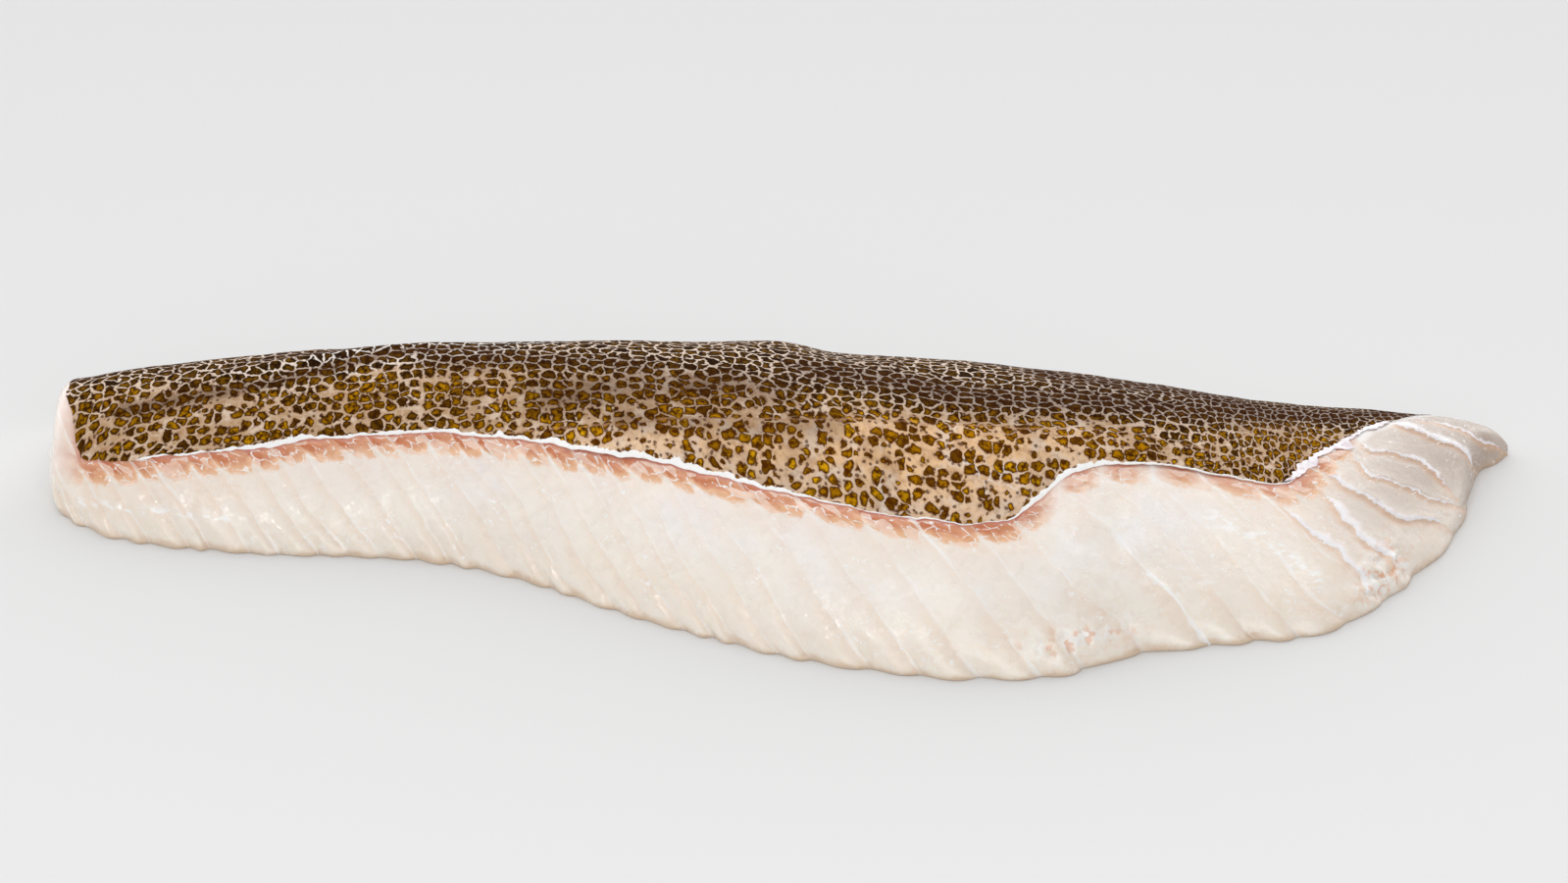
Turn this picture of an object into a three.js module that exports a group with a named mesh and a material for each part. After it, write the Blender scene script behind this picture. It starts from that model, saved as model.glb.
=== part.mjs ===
// A side of cod with its skin on, lying skin up on the flat side that was cut from the bones.
// Two solids: the flesh, with its flakes as relief, and the skin that lies over its back.
// Millimetres. +X runs from the tail cut to the shoulder tip, -Y is the side where the flesh shows,
// and +Z is up.
// The origin is on the floor, under the middle of the fillet.

import * as THREE from "three";
import { LoftGeometry } from "three/addons/geometries/LoftGeometry.js";

// Driving dimensions
const LENGTH = 410;
const WIDTH = 152;
const HEIGHT = 46;
const SKIN_THICKNESS = 1.6;
const SKIN_GAP = 0.35;
const FOOT_ROUND = 3; // radius of the rounded edge along the floor
const END_ROUND = 5; // radius round the rim of the tail cut

// The form along the fillet: [share of the length, share of the width or height]
const FRONT_FOOT = [
  [0, 0.1], [0.046, 0], [0.13, -0.05], [0.24, -0.075], [0.315, -0.14], [0.4, -0.285], [0.5, -0.425],
  [0.58, -0.485], [0.635, -0.5], [0.68, -0.485], [0.72, -0.42], [0.785, -0.38], [0.84, -0.35],
  [0.876, -0.28], [0.924, -0.115], [0.956, 0.05], [0.976, 0.25], [0.99, 0.285], [1, 0.315],
];
const BACK_FOOT = [
  [0, 0.43], [0.13, 0.49], [0.35, 0.5], [0.5, 0.48], [0.65, 0.44], [0.8, 0.41], [0.91, 0.41],
  [0.97, 0.4], [0.99, 0.375], [1, 0.35],
];
const CREST_ACROSS = [
  [0, 0.25], [0.23, 0.26], [0.39, 0.165], [0.5, 0.065], [0.62, -0.015], [0.73, 0.035], [0.865, 0.11],
  [0.975, 0.295], [1, 0.335],
];
const CREST_HEIGHT = [
  [0, 0.585], [0.05, 0.645], [0.23, 0.79], [0.39, 0.93], [0.51, 1], [0.61, 0.99], [0.67, 0.92], [0.8, 0.66],
  [0.93, 0.37], [1, 0.14],
];

// Bow and fullness of the section from the crest down to each foot
const FRONT_CURVE = { bow: 1.7, full: 0.8 };
const BACK_CURVE = { bow: 2, full: 0.6 };

// The skin's edges: [share of the length, side]
// A side is -1 at the back foot, 0 at the crest and 1 at the front foot
const SKIN_FRONT_EDGE = [
  [0.017, 0.68], [0.06, 0.64], [0.16, 0.57], [0.23, 0.53], [0.36, 0.52], [0.43, 0.53], [0.5, 0.56],
  [0.6, 0.59], [0.64, 0.57], [0.66, 0.5], [0.687, 0.36], [0.73, 0.325], [0.76, 0.335], [0.785, 0.37],
  [0.83, 0.37], [0.855, 0.19], [0.89, 0.02], [0.93, -0.25], [0.945, -0.55],
];
const SKIN_BACK_EDGE = [[0, -0.93], [0.5, -0.94], [0.9, -0.88], [0.945, -0.8]];
const SKIN_START = 0.006;
const SKIN_END = 0.945;
const SKIN_START_SLANT = 0.012; // how much later the skin starts at its front corner than at the crest
const SKIN_SLANT_FADE = 8; // how quickly that slant dies out along the skin

// Flakes of the flesh: their width at the tail end, its growth along the fillet, their slant and depth
const FLAKE_WIDTH = 10;
const FLAKE_GROWTH = 0.02;
const FLAKE_SLANT = 0.73; // run to the right for each millimetre down the face
const FLAKE_DEPTH = 1.5;
const FLAKE_ROUNDNESS = 0.45;
const FLAKE_FADE = 30; // distance from the shoulder tip over which the flakes die out
const BARED_BLEND = 8; // distance below the skin's edge where the flesh has come out to its full form

// Finishes
const FLESH_FINISH = { color: 0xece3db, roughness: 0.35, metalness: 0 };
const SKIN_FINISH = { color: 0x7f613f, roughness: 0.3, metalness: 0 };

// Mesh density
const FLESH_RINGS = 116;
const BACK_STEPS = 8;
const FRONT_STEPS = 17;
const FOOT_STEPS = 2;
const UNDERSIDE_STEPS = 5;
const SKIN_RINGS = 104;
const SKIN_STEPS = 12;
const RING_CROWDING = 0.06; // how much closer the flesh's rings stand at the two ends
const SLOPE_STEP = 1e-3; // step for the slopes of the form

// A smooth curve through knots, with the slope at each knot taken from its neighbours
function profile(knots) {
  const last = knots.length - 1;
  const slope = (i) => {
    const [a, b] = [knots[Math.max(i - 1, 0)], knots[Math.min(i + 1, last)]];
    return (b[1] - a[1]) / (b[0] - a[0]);
  };
  return (at) => {
    const p = THREE.MathUtils.clamp(at, knots[0][0], knots[last][0]);
    const i = Math.min(knots.findLastIndex((k) => k[0] <= p), last - 1);
    const [[p0, v0], [p1, v1]] = [knots[i], knots[i + 1]];
    const span = p1 - p0;
    const t = (p - p0) / span;
    const near = (1 + 2 * t) * (1 - t) ** 2 * v0 + t * (1 - t) ** 2 * span * slope(i);
    const far = t * t * (3 - 2 * t) * v1 + t * t * (t - 1) * span * slope(i + 1);
    return near + far;
  };
}

const frontFoot = profile(FRONT_FOOT);
const backFoot = profile(BACK_FOOT);
const crestAcross = profile(CREST_ACROSS);
const crestHeight = profile(CREST_HEIGHT);
const skinFrontEdge = profile(SKIN_FRONT_EDGE);
const skinBackEdge = profile(SKIN_BACK_EDGE);

// How far the section is drawn in to round the rim of the tail cut
function endInset(along) {
  const inward = Math.min(along * LENGTH, END_ROUND);
  return END_ROUND - Math.sqrt(END_ROUND ** 2 - (END_ROUND - inward) ** 2);
}

// A point of the fillet's outer form
// Along is 0 at the tail cut and 1 at the shoulder tip, side goes from the back foot over the crest
function formPoint(along, side) {
  const inset = endInset(along);
  const crestY = crestAcross(along) * WIDTH;
  const crestZ = crestHeight(along) * HEIGHT - inset;
  const footY = (side > 0 ? frontFoot(along) : backFoot(along)) * WIDTH;
  const reach = Math.abs(footY - crestY) - inset;
  const { bow, full } = side > 0 ? FRONT_CURVE : BACK_CURVE;
  const drop = Math.max(1 - Math.abs(side) ** bow, 0) ** full;
  const footZ = FOOT_ROUND + inset;
  return new THREE.Vector3(
    (along - 0.5) * LENGTH,
    crestY - side * reach,
    footZ + (crestZ - footZ) * drop,
  );
}

// The outward normal of that form
function formNormal(along, side) {
  const lo = Math.max(along - SLOPE_STEP, 0);
  const hi = Math.min(along + SLOPE_STEP, 1);
  const lengthwise = formPoint(hi, side).sub(formPoint(lo, side));
  const left = Math.max(side - SLOPE_STEP, -1);
  const right = Math.min(side + SLOPE_STEP, 1);
  const sideways = formPoint(along, right).sub(formPoint(along, left));
  return sideways.cross(lengthwise).normalize();
}

// The point of the form moved out along its normal, or in where the distance is negative
function offsetPoint(along, side, distance) {
  return formPoint(along, side).addScaledVector(formNormal(along, side), distance);
}

// How far, in millimetres across the form, a point lies outside the skin's edges; negative under the skin
function beyondSkin(along, side) {
  const foot = side > 0 ? frontFoot(along) : backFoot(along);
  const reach = Math.abs(foot - crestAcross(along)) * WIDTH;
  const across = Math.max(side - skinFrontEdge(along), skinBackEdge(along) - side) * reach;
  const start = (SKIN_START + SKIN_START_SLANT * Math.max(side, 0) - along) * LENGTH;
  const end = (along - SKIN_END) * LENGTH;
  return Math.max(across, start, end);
}

// Relief of the flakes: pillows with a crease between them, along lines that slant down the face
function flakeRelief(along, aboveFoot) {
  const run = along * LENGTH + FLAKE_SLANT * aboveFoot;
  const count = Math.log(1 + (FLAKE_GROWTH * run) / FLAKE_WIDTH) / FLAKE_GROWTH;
  const place = count - Math.floor(count);
  const depth = FLAKE_DEPTH * Math.min(((1 - along) * LENGTH) / FLAKE_FADE, 1);
  return depth * (Math.sin(Math.PI * place) ** FLAKE_ROUNDNESS - 1);
}

// Sides of the points from one foot over the crest to the other, closer together towards the feet
function sidesOverTheBack() {
  const quarter = Math.PI / 2;
  const back = Array.from({ length: BACK_STEPS }, (_, i) => Math.sin((i / BACK_STEPS - 1) * quarter));
  const front = Array.from({ length: FRONT_STEPS + 1 }, (_, i) => Math.sin((i / FRONT_STEPS) * quarter));
  return [...back, ...front];
}

// One closed ring of the flesh: over the back, round the front foot, the underside, round the back foot
function fleshRing(along) {
  const sides = sidesOverTheBack();
  const form = sides.map((side) => formPoint(along, side));
  const aboveFoot = form.map(() => 0);
  for (let i = form.length - 2; i >= 0; i -= 1) {
    aboveFoot[i] = aboveFoot[i + 1] + form[i].distanceTo(form[i + 1]);
  }
  const over = sides.map((side, i) => {
    const bared = THREE.MathUtils.smoothstep(beyondSkin(along, side), 0, BARED_BLEND);
    const underSkin = -(SKIN_THICKNESS + SKIN_GAP) * (1 - bared);
    const fromFoot = i < BACK_STEPS ? aboveFoot[0] - aboveFoot[i] : aboveFoot[i];
    return offsetPoint(along, side, underSkin + bared * flakeRelief(along, fromFoot));
  });
  const floor = endInset(along);
  const [backEdge, frontEdge] = [over[0], over.at(-1)];
  const inward = Math.min(FOOT_ROUND, (backEdge.y - frontEdge.y) / 4);
  const foot = (edge, sign) =>
    Array.from({ length: FOOT_STEPS }, (_, i) => {
      const turn = ((i + 1) / FOOT_STEPS) * (Math.PI / 2);
      const y = edge.y + sign * inward * (1 - Math.cos(turn));
      return new THREE.Vector3(edge.x, y, floor + (edge.z - floor) * (1 - Math.sin(turn)));
    });
  const frontRound = foot(frontEdge, 1);
  const backRound = foot(backEdge, -1);
  const underside = Array.from({ length: UNDERSIDE_STEPS - 1 }, (_, i) =>
    new THREE.Vector3().lerpVectors(frontRound.at(-1), backRound.at(-1), (i + 1) / UNDERSIDE_STEPS),
  );
  return [...over, ...frontRound, ...underside, ...backRound.reverse()];
}

function makeFlesh() {
  // Rings are closer together at the two ends, where the form turns quickly
  const rings = Array.from({ length: FLESH_RINGS + 1 }, (_, i) => {
    const even = i / FLESH_RINGS;
    return fleshRing(even - RING_CROWDING * Math.sin(2 * Math.PI * even));
  });
  return new LoftGeometry(rings, { capStart: true, capEnd: true });
}

// One closed ring of the skin: its outer face from the back edge to the front, then its inner face
function skinRing(share) {
  const along = THREE.MathUtils.lerp(SKIN_START, SKIN_END, share);
  const back = skinBackEdge(along);
  const front = skinFrontEdge(along);
  const places = Array.from({ length: SKIN_STEPS + 1 }, (_, i) => {
    const side = THREE.MathUtils.lerp(back, front, i / SKIN_STEPS);
    return { along: along + SKIN_START_SLANT * Math.max(side, 0) * (1 - share) ** SKIN_SLANT_FADE, side };
  });
  const outer = places.map((p) => formPoint(p.along, p.side));
  const inner = places.map((p) => offsetPoint(p.along, p.side, -SKIN_THICKNESS));
  return [...outer, ...inner.reverse()];
}

function makeSkin() {
  const rings = Array.from({ length: SKIN_RINGS + 1 }, (_, i) => skinRing(i / SKIN_RINGS));
  return new LoftGeometry(rings, { capStart: true, capEnd: true });
}

function namedMesh(name, geometry, finish) {
  const mesh = new THREE.Mesh(geometry, new THREE.MeshStandardMaterial(finish));
  mesh.name = name;
  return mesh;
}

const fillet = new THREE.Group();
fillet.add(namedMesh("flesh", makeFlesh(), FLESH_FINISH));
fillet.add(namedMesh("skin", makeSkin(), SKIN_FINISH));

export default fillet;
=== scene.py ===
"""A raw side of cod lying skin up: flaked flesh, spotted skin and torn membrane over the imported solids."""
import math

import bpy
import numpy as np
from bpy.props import FloatProperty, FloatVectorProperty, PointerProperty
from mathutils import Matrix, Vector, kdtree, noise


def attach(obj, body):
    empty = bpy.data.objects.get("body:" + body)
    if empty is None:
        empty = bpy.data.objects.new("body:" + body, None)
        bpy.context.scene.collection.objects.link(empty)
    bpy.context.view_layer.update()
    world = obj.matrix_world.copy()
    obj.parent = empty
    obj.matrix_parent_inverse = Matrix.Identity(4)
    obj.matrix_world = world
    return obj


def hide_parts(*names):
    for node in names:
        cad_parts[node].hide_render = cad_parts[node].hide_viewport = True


bl_info = {
    "name": "Cod Fillet",
    "version": (1, 0, 0),
    "blender": (4, 5, 0),
    "location": "3D View > Sidebar > Cod Fillet",
    "description": "Models a raw side of cod with its flaked flesh, spotted skin and torn membrane",
    "category": "Mesh",
}

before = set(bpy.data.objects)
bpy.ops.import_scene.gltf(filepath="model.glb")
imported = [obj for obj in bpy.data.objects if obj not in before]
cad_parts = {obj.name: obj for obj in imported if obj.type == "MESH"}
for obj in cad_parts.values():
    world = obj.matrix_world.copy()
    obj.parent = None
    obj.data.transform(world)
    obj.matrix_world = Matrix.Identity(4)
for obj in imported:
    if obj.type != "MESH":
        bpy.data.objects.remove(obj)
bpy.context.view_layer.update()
MM = 0.001

# How finely curves are followed: points from the crest to a foot, from foot to foot, along the skin's edges,
# along a streak and along a torn edge, and the step that slopes are taken over
REACH_POINTS, SIDE_POINTS = 80, 361
FRONT_POINTS, TAIL_POINTS, END_POINTS = 3000, 200, 60
STREAK_POINTS, TORN_POINTS = 60, 200
SLOPE_STEP = 1e-3

# Small bumps: the noise's highest value, and how far a seed moves it along x, y and z
NOISE_PEAK = 0.7
SEED_STEPS = (7.3, 3.1, 5.7)

# The form along the fillet: (share of the length, share of the width or height)
FRONT_FOOT = (
    (0, 0.1), (0.046, 0), (0.13, -0.05), (0.24, -0.075), (0.315, -0.14), (0.4, -0.285), (0.5, -0.425),
    (0.58, -0.485), (0.635, -0.5), (0.68, -0.485), (0.72, -0.42), (0.785, -0.38), (0.84, -0.35),
    (0.876, -0.28), (0.924, -0.115), (0.956, 0.05), (0.976, 0.25), (0.99, 0.285), (1, 0.315),
)
BACK_FOOT = (
    (0, 0.43), (0.13, 0.49), (0.35, 0.5), (0.5, 0.48), (0.65, 0.44), (0.8, 0.41), (0.91, 0.41),
    (0.97, 0.4), (0.99, 0.375), (1, 0.35),
)
CREST_ACROSS = (
    (0, 0.25), (0.23, 0.26), (0.39, 0.165), (0.5, 0.065), (0.62, -0.015), (0.73, 0.035), (0.865, 0.11),
    (0.975, 0.295), (1, 0.335),
)
CREST_HEIGHT = (
    (0, 0.585), (0.05, 0.645), (0.23, 0.79), (0.39, 0.93), (0.51, 1), (0.61, 0.99), (0.67, 0.92),
    (0.8, 0.66), (0.93, 0.37), (1, 0.14),
)
FRONT_BOW, FRONT_FULLNESS = 1.7, 0.8
BACK_BOW, BACK_FULLNESS = 2.0, 0.6

# The skin's edges: (share of the length, side), where side is 1 at the front foot and -1 at the back foot.
# Here and below, waves are layers of (height in mm, width in mm, seed). These end between two shares of the
# length. The rim is the white cut edge, in mm
SKIN_FRONT_EDGE = (
    (0.017, 0.68), (0.06, 0.64), (0.16, 0.57), (0.23, 0.53), (0.36, 0.52), (0.43, 0.53), (0.5, 0.56),
    (0.6, 0.585), (0.64, 0.57), (0.66, 0.5), (0.687, 0.365), (0.73, 0.325), (0.76, 0.33), (0.785, 0.35),
    (0.83, 0.345), (0.853, 0.165), (0.888, -0.02), (0.92, -0.28), (0.945, -0.55),
)
SKIN_BACK_EDGE = ((0, -0.93), (0.5, -0.94), (0.9, -0.88), (0.945, -0.8))
SKIN_START, SKIN_END, SKIN_START_SLANT = 0.006, 0.945, 0.022
EDGE_WAVES = ((0.8, 11, 11), (0.4, 4, 4), (0.22, 1.7, 1.7))
EDGE_WAVES_END = (0.96, 0.9)
RIM_WIDTH = (
    (0.025, 0.05), (0.04, 0.5), (0.09, 0.7), (0.12, 0.8), (0.14, 1.5), (0.165, 1.5), (0.18, 0.8), (0.25, 0.9),
    (0.3, 1.3), (0.4, 1.5), (0.44, 2.0), (0.47, 1.7), (0.5, 0.8), (0.53, 0.4), (0.645, 0.3), (0.656, 0.9),
    (0.665, 1.9), (0.7, 1.6), (0.72, 0.7), (0.75, 0.4), (0.84, 0.35), (0.9, 0.3), (0.92, 0.1),
)
LATERAL_LINE = (
    (0.017, 0.72), (0.2, 0.6), (0.334, 0.45), (0.446, 0.29), (0.53, 0.22), (0.627, 0.16), (0.724, 0.15),
    (0.8, 0.22), (0.945, 0.3),
)

# The spots: mm from the crest between which the dense back ends, how much sooner it does so towards the
# shoulder, their spacing on it, worked out over a reach in mm, the stretch below the lateral line, how much
# finer they get towards the shoulder, how sparse they are on the side and the belly, and how much less so on
# the painted glint streaks
BACK_ENDS, SOONER, SOONER_FROM = (-10, 16), 10, (0.7, 0.82)
BACK_SPACING = 1.08
SPOT_REACH, SPOT_STEPS = 120, 1201
BELLY_STRETCH = 0.2
BELLY_RUN, BELLY_ABOVE = (0.25, 0.36, 0.66, 0.78), (5, -6)
FINER_SPOTS, FINER_FROM = 0.35, (0.72, 0.86)
SIDE_SPARSE, BELLY_SPARSE, GLINT_SPARSE = 0.42, 0.45, 0.3
SPARSE_WAVES = ((0.12, 24, 15),)

# The skin's mesh: stations, rows, the mm in from the front edge of the rows next to it and of the rest, the
# least mm across, the ragged start at the tail, and the wall's share at the edge and the mm where it is full
SKIN_STATIONS, SKIN_ROWS = 900, 38
EDGE_ROWS, REST_FROM, LEAST_SKIN = (0, 0.3, 0.7, 1.3, 2.1, 3.2), 4.5, 6
TAIL_WAVES, TAIL_WAVES_FADE = ((0.8, 5, 71), (0.5, 2, 72)), 8
RIM_WAVES = ((0.5, 5, 16),)
EDGE_WALL, FULL_WALL = 0.25, (0.5, 5)
SKIN_SMOOTH = math.radians(50)

# The skin's relief in mm: grooves and ridges by the lateral line as (height, mm above it, half width), a
# slanting fold, humps and dents as (height, run, half run, mm from the crest, half width), and the cut's lip
LINE_WAVES = ((0.7, 13, 21),)
LINE_GROOVES, LINE_RUN = ((-0.5, 1.5, 1.8), (0.25, -1.2, 1.4), (0.8, -9, 6)), (0.28, 0.4, 0.74, 0.86)
FOLD_HEIGHT, FOLD_HALF, FOLD_RUN = 0.9, 2.6, (0.06, 0.12, 0.22, 0.3)
FOLD_AT, FOLD_SIDE, FOLD_SLANT = 0.1, 0.1, 2.2
HUMPS = ((1.5, 200, 14, -34, 12), (-1.7, 221, 9, -28, 14))
LIP_HEIGHT, LIP_IN, LIP_HALF = 0.12, 0.8, 1.0
SKIN_WAVES, SKIN_WAVES_FROM = ((0.35, 18, 11), (0.16, 7, 12)), (0, 4)

# The salmon band under the skin's front edge: (share of the length, strength) and (share of the length, mm)
BAND_STRENGTH = (
    (0, 0.1), (0.015, 0.3), (0.03, 0.9), (0.65, 1), (0.664, 0.6), (0.677, 0.15), (0.691, 1), (0.705, 0.2),
    (0.721, 0.95), (0.74, 0.08), (0.76, 0.95), (0.773, 0.3), (0.79, 0.8), (0.83, 0.8), (0.855, 1),
    (0.872, 0.95), (0.885, 0),
)
BAND_WIDTH = ((0, 6.5), (0.1, 7), (0.3, 6), (0.8, 6), (0.86, 8), (0.9, 3))
# Its pads, in shares of its width: where they swell, how round they are on each flake, and their cells in mm
BAND_BACK_END, BAND_NEAR, BAND_SWELL = (-0.75, -0.6), (-0.1, 1.3), (0.0, 0.25, 0.6, 1.2)
PAD_ROUND, PAD_ROUNDNESS, PAD_TOP, PAD_SINK = 0.4, 0.8, 0.5, 0.35
PAD_CELL, PAD_STRETCH, PAD_WANDER = 3.6, 1.3, ((0.6, 2.5, 13),)

# Flake lines of the flesh, in mm of run from the tail cut: even ones first, then those by the shoulder
EVEN_COUNT, EVEN_RUN, UNEVEN = 26, (-16, 211), 2.0
EVEN_FLAKES = np.linspace(*EVEN_RUN, EVEN_COUNT)
EVEN_FLAKES += np.random.default_rng(4).uniform(-UNEVEN, UNEVEN, EVEN_COUNT)
SHOULDER_FLAKES = (
    225.5, 240, 255, 270, 284, 298, 317, 329, 341, 354, 367, 376, 389, 395.5, 404.5, 411, 422, 436,
)
FLAKE_LINES = np.concatenate([EVEN_FLAKES, SHOULDER_FLAKES])
FLAKE_SLANT, FLAKE_WANDER = 0.73, ((1.6, 20, 5), (0.5, 6, 4))
# How white the lines are: by their place, elsewhere, and in the torn fan of the shoulder
WHITE_LINES = {270: 0.6, 298: 0.45, 317: 1.0, 341: 0.4, 354: 0.5, 367: 0.5, 376: 0.4}
FAINT_LINE = 0.38
FAN_LINE, FAN_LINES_FROM = 0.15, 380
# The fan's run in mm, how much calmer its relief is, and the mm of calm before the tip
FAN_RUN, FAN_CALM, CALM_TIP = (320, 384), 0.6, 25

# The flakes' relief: shingles that lean one way, deepest at the floor, scallops along it that grow towards
# the shoulder, and low ridges on the white lines. Heights are in mm, and a ridge's half width is a share of a
# flake
SHALLOWEST, DEEPEST = 0.35, 1.1
FLAKE_CREASES = np.random.default_rng(9).uniform(SHALLOWEST, DEEPEST, len(FLAKE_LINES))
SHINGLE_LEAN, PILLOW_ROUND, SCALLOP_ROUND = 1.5, 1.2, 0.7
CREASE_HEIGHT, CREASE_LEAST = 18, 0.16
SCALLOP_HEIGHT, SCALLOP_LEAST, SCALLOP_GROWTH, SCALLOP_GROWS = 7, 0.3, 0.8, (0.45, 0.7)
RIDGE_HEIGHT, RIDGE_HALF = 0.35, 0.06
FLESH_WAVES, FLESH_WAVES_FROM = ((0.6, 26, 6), (0.22, 9, 7), (0.08, 3, 17)), (0, 4)

# Tattered places low on the flesh: run, mm above the foot, half width along, half width up, strength
TATTERS = ((366, 8, 8, 9, 1.0), (282, 8, 16, 4, 0.8))
TATTER_WAVES = ((0.9, 3.2, 8), (0.5, 1.4, 9))

# Where the flesh comes out from under the skin and takes on its relief, in mm beyond the skin's edge, and the
# greyish tongue, in shares of the length and sides
BARED, SETTLED, STEPPED, BARE_DROP = (-4.2, -0.8), (1, 9), (0, 2), 0.03
TONGUE_RUN, TONGUE_TIP, TONGUE_UP, TONGUE_LEAST = (0.81, 0.95), (0.94, 0.97), (0.95, 0.4), 0.1

# The flesh's mesh: stations round the tail's rim and after it, rows below the band, in it and under the skin,
# mm of close rows below and above the skin's edge, and least mm left in front, at the edge and at the back
RIM_STATIONS, FLESH_STATIONS = 9, 630
ROWS_BELOW, ROWS_IN_BAND, ROWS_HIDDEN = 64, 26, 22
CLOSE_BELOW, CLOSE_ABOVE = 11, 1.5
FRONT_LEAST, EDGE_LEAST, BACK_LEAST = 4, 6, 2
# Steps round its foot, over its underside and over its end caps, how steeply the foot turns under, the bulge
# of the tail's cap in mm, and how low the cap's middle is
FOOT_STEPS, UNDER_STEPS, TAIL_STEPS, TIP_STEPS = 7, 6, 13, 5
FOOT_STEEPNESS, TAIL_BULGE, TAIL_MIDDLE = 4, 1.5, 0.8

# Painted highlight streaks on the flesh, painted glint streaks on the skin, and darker strokes over
# the skin, partly painted shade below the bright ridge's fold and partly darker zones of the skin:
# a path of (share of the length, side), then the half width in mm and the strength
GLEAM_STREAKS = (
    (((0.012, 0.94), (0.057, 0.89), (0.104, 0.895), (0.124, 0.903)), 2.0, 1.0),
    (((0.78, 0.552), (0.812, 0.643), (0.837, 0.76), (0.846, 0.829)), 5.0, 0.9),
    (((0.755, 0.777), (0.768, 0.814), (0.78, 0.843)), 2.5, 0.6),
)
SKIN_GLINTS = (
    (((0.12, 0.08), (0.16, 0.02), (0.19, -0.07)), 3.0, 0.4),
    (((0.177, -0.026), (0.216, -0.156), (0.256, -0.276), (0.296, -0.301), (0.34, -0.33)), 5.0, 0.9),
    (((0.191, 0.148), (0.224, 0.07), (0.265, -0.017), (0.311, -0.113)), 3.0, 0.5),
    (((0.616, 0.35), (0.632, 0.399), (0.654, 0.454)), 2.5, 0.7),
    (((0.627, 0.462), (0.639, 0.367), (0.651, 0.326)), 2.0, 0.7),
    (((0.557, 0.431), (0.561, 0.508), (0.563, 0.566)), 2.0, 0.6),
)
SHADE_AND_DARK_STROKES = (
    (((0.05, 0.3), (0.08, 0.26), (0.14, 0.18), (0.18, 0.1), (0.22, -0.02), (0.26, -0.13), (0.3, -0.17)),
     5.0, 1.0),
    (((0.12, -0.12), (0.17, -0.2), (0.21, -0.32), (0.25, -0.42)), 4.0, 0.7),
    (((0.34, 0.26), (0.37, 0.2), (0.42, 0.14), (0.5, 0.08)), 14.0, 0.8),
    (((0.26, 0.03), (0.32, 0.03), (0.37, 0.02), (0.41, 0.05)), 10.0, 0.8),
    (((0.39, 0.36), (0.43, 0.34), (0.485, 0.31), (0.53, 0.27)), 8.0, 0.7),
    (((0.68, 0.05), (0.74, 0.0), (0.8, 0.0)), 6.0, 0.6),
    (((0.68, -0.4), (0.76, -0.4), (0.84, -0.35), (0.9, -0.4), (0.94, -0.55)), 19.0, 1.0),
    (((0.79, -0.3), (0.83, -0.28), (0.87, -0.25), (0.9, -0.42), (0.93, -0.55)), 9.0, 1.2),
    (((0.52, -0.1), (0.59, -0.06), (0.63, -0.04), (0.68, -0.06), (0.73, -0.1), (0.83, -0.22)), 17.0, 1.0),
    (((0.01, -0.3), (0.06, -0.4), (0.12, -0.5), (0.2, -0.6)), 8.0, 0.5),
)

# Torn edges of the flakes at the shoulder end, each flake over the one before: (share of the length, side),
# then how far the edge stands off in mm and how wide its white rim is in mm
TORN_FLAKES = (
    (((0.826, 0.48), (0.833, 0.53), (0.846, 0.623), (0.86, 0.707), (0.871, 0.814), (0.878, 0.895),
      (0.879, 0.97)), 0.45, 2.0),
    (((0.852, 0.4), (0.859, 0.454), (0.867, 0.566), (0.877, 0.676), (0.887, 0.755), (0.895, 0.819),
      (0.903, 0.95)), 0.55, 2.6),
    (((0.856, 0.23), (0.868, 0.35), (0.88, 0.454), (0.896, 0.574), (0.907, 0.663), (0.92, 0.707),
      (0.933, 0.793), (0.943, 0.9)), 0.8, 1.2),
    (((0.879, 0.15), (0.887, 0.309), (0.899, 0.383), (0.91, 0.462), (0.922, 0.545), (0.934, 0.656),
      (0.957, 0.906)), 0.55, 0.7),
    (((0.883, 0.03), (0.894, 0.165), (0.904, 0.165), (0.913, 0.225), (0.926, 0.309), (0.933, 0.407),
      (0.942, 0.566), (0.952, 0.74)), 0.6, 0.9),
    (((0.906, -0.2), (0.918, -0.087), (0.929, 0.009), (0.94, 0.131), (0.951, 0.225), (0.961, 0.358),
      (0.968, 0.676), (0.973, 0.92)), 0.85, 2.6),
    (((0.938, -0.2), (0.956, -0.07), (0.967, 0.035), (0.977, 0.45), (0.987, 0.53), (0.998, 0.8)), 0.4, 0.8),
)
# How far their marks reach in mm, the share of the length where they start, mm of fading at their ends, and
# in mm the half width of a step, how it falls off and the hollow before it, a share of the step deep
TORN_REACH, TORN_FROM, TORN_FADES = 6, 0.78, (8, 6)
TORN_WAVES, TORN_RIM_WAVES = ((0.8, 4.5, 30), (0.4, 1.6, 40)), ((0.6, 6, 70),)
STEP_HALF, STEP_FALL, HOLLOW_SHARE, HOLLOW_REACH = 0.6, 6, 0.2, 4
# The rounded tip: its length in mm and how far it shrinks
TIP_ROUND, TIP_SHRINK = 7, 0.92

# The torn white membrane along the skin's slanting end: (share of the length, side), then in mm where it
# hangs lower (run, half width, fall), its width and least width to both sides, fading at its ends and lift
MEMBRANE = (
    (0.828, 0.345), (0.837, 0.3), (0.848, 0.21), (0.855, 0.16), (0.866, 0.12), (0.876, 0.05), (0.887, -0.02),
    (0.899, -0.12), (0.911, -0.19),
)
HANGING_TATTERS = ((12, 1.6, 1.6), (26, 1.8, 2.6))
HANGING, HANGING_LEAST, HANGING_WAVES = 0.9, 0.2, ((0.8, 4, 61), (0.8, 1.5, 62))
LYING, LYING_LEAST, LYING_WAVES = 1.0, 0.3, ((1.0, 5, 63), (0.9, 1.4, 64))
MEMBRANE_FADES = (4, 3)
MEMBRANE_LIFT, MEMBRANE_SINK, MEMBRANE_WAVES = 0.5, 0.2, ((0.18, 3, 65), (0.08, 1.3, 66))
MEMBRANE_SINKS = (0, 3)
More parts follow.
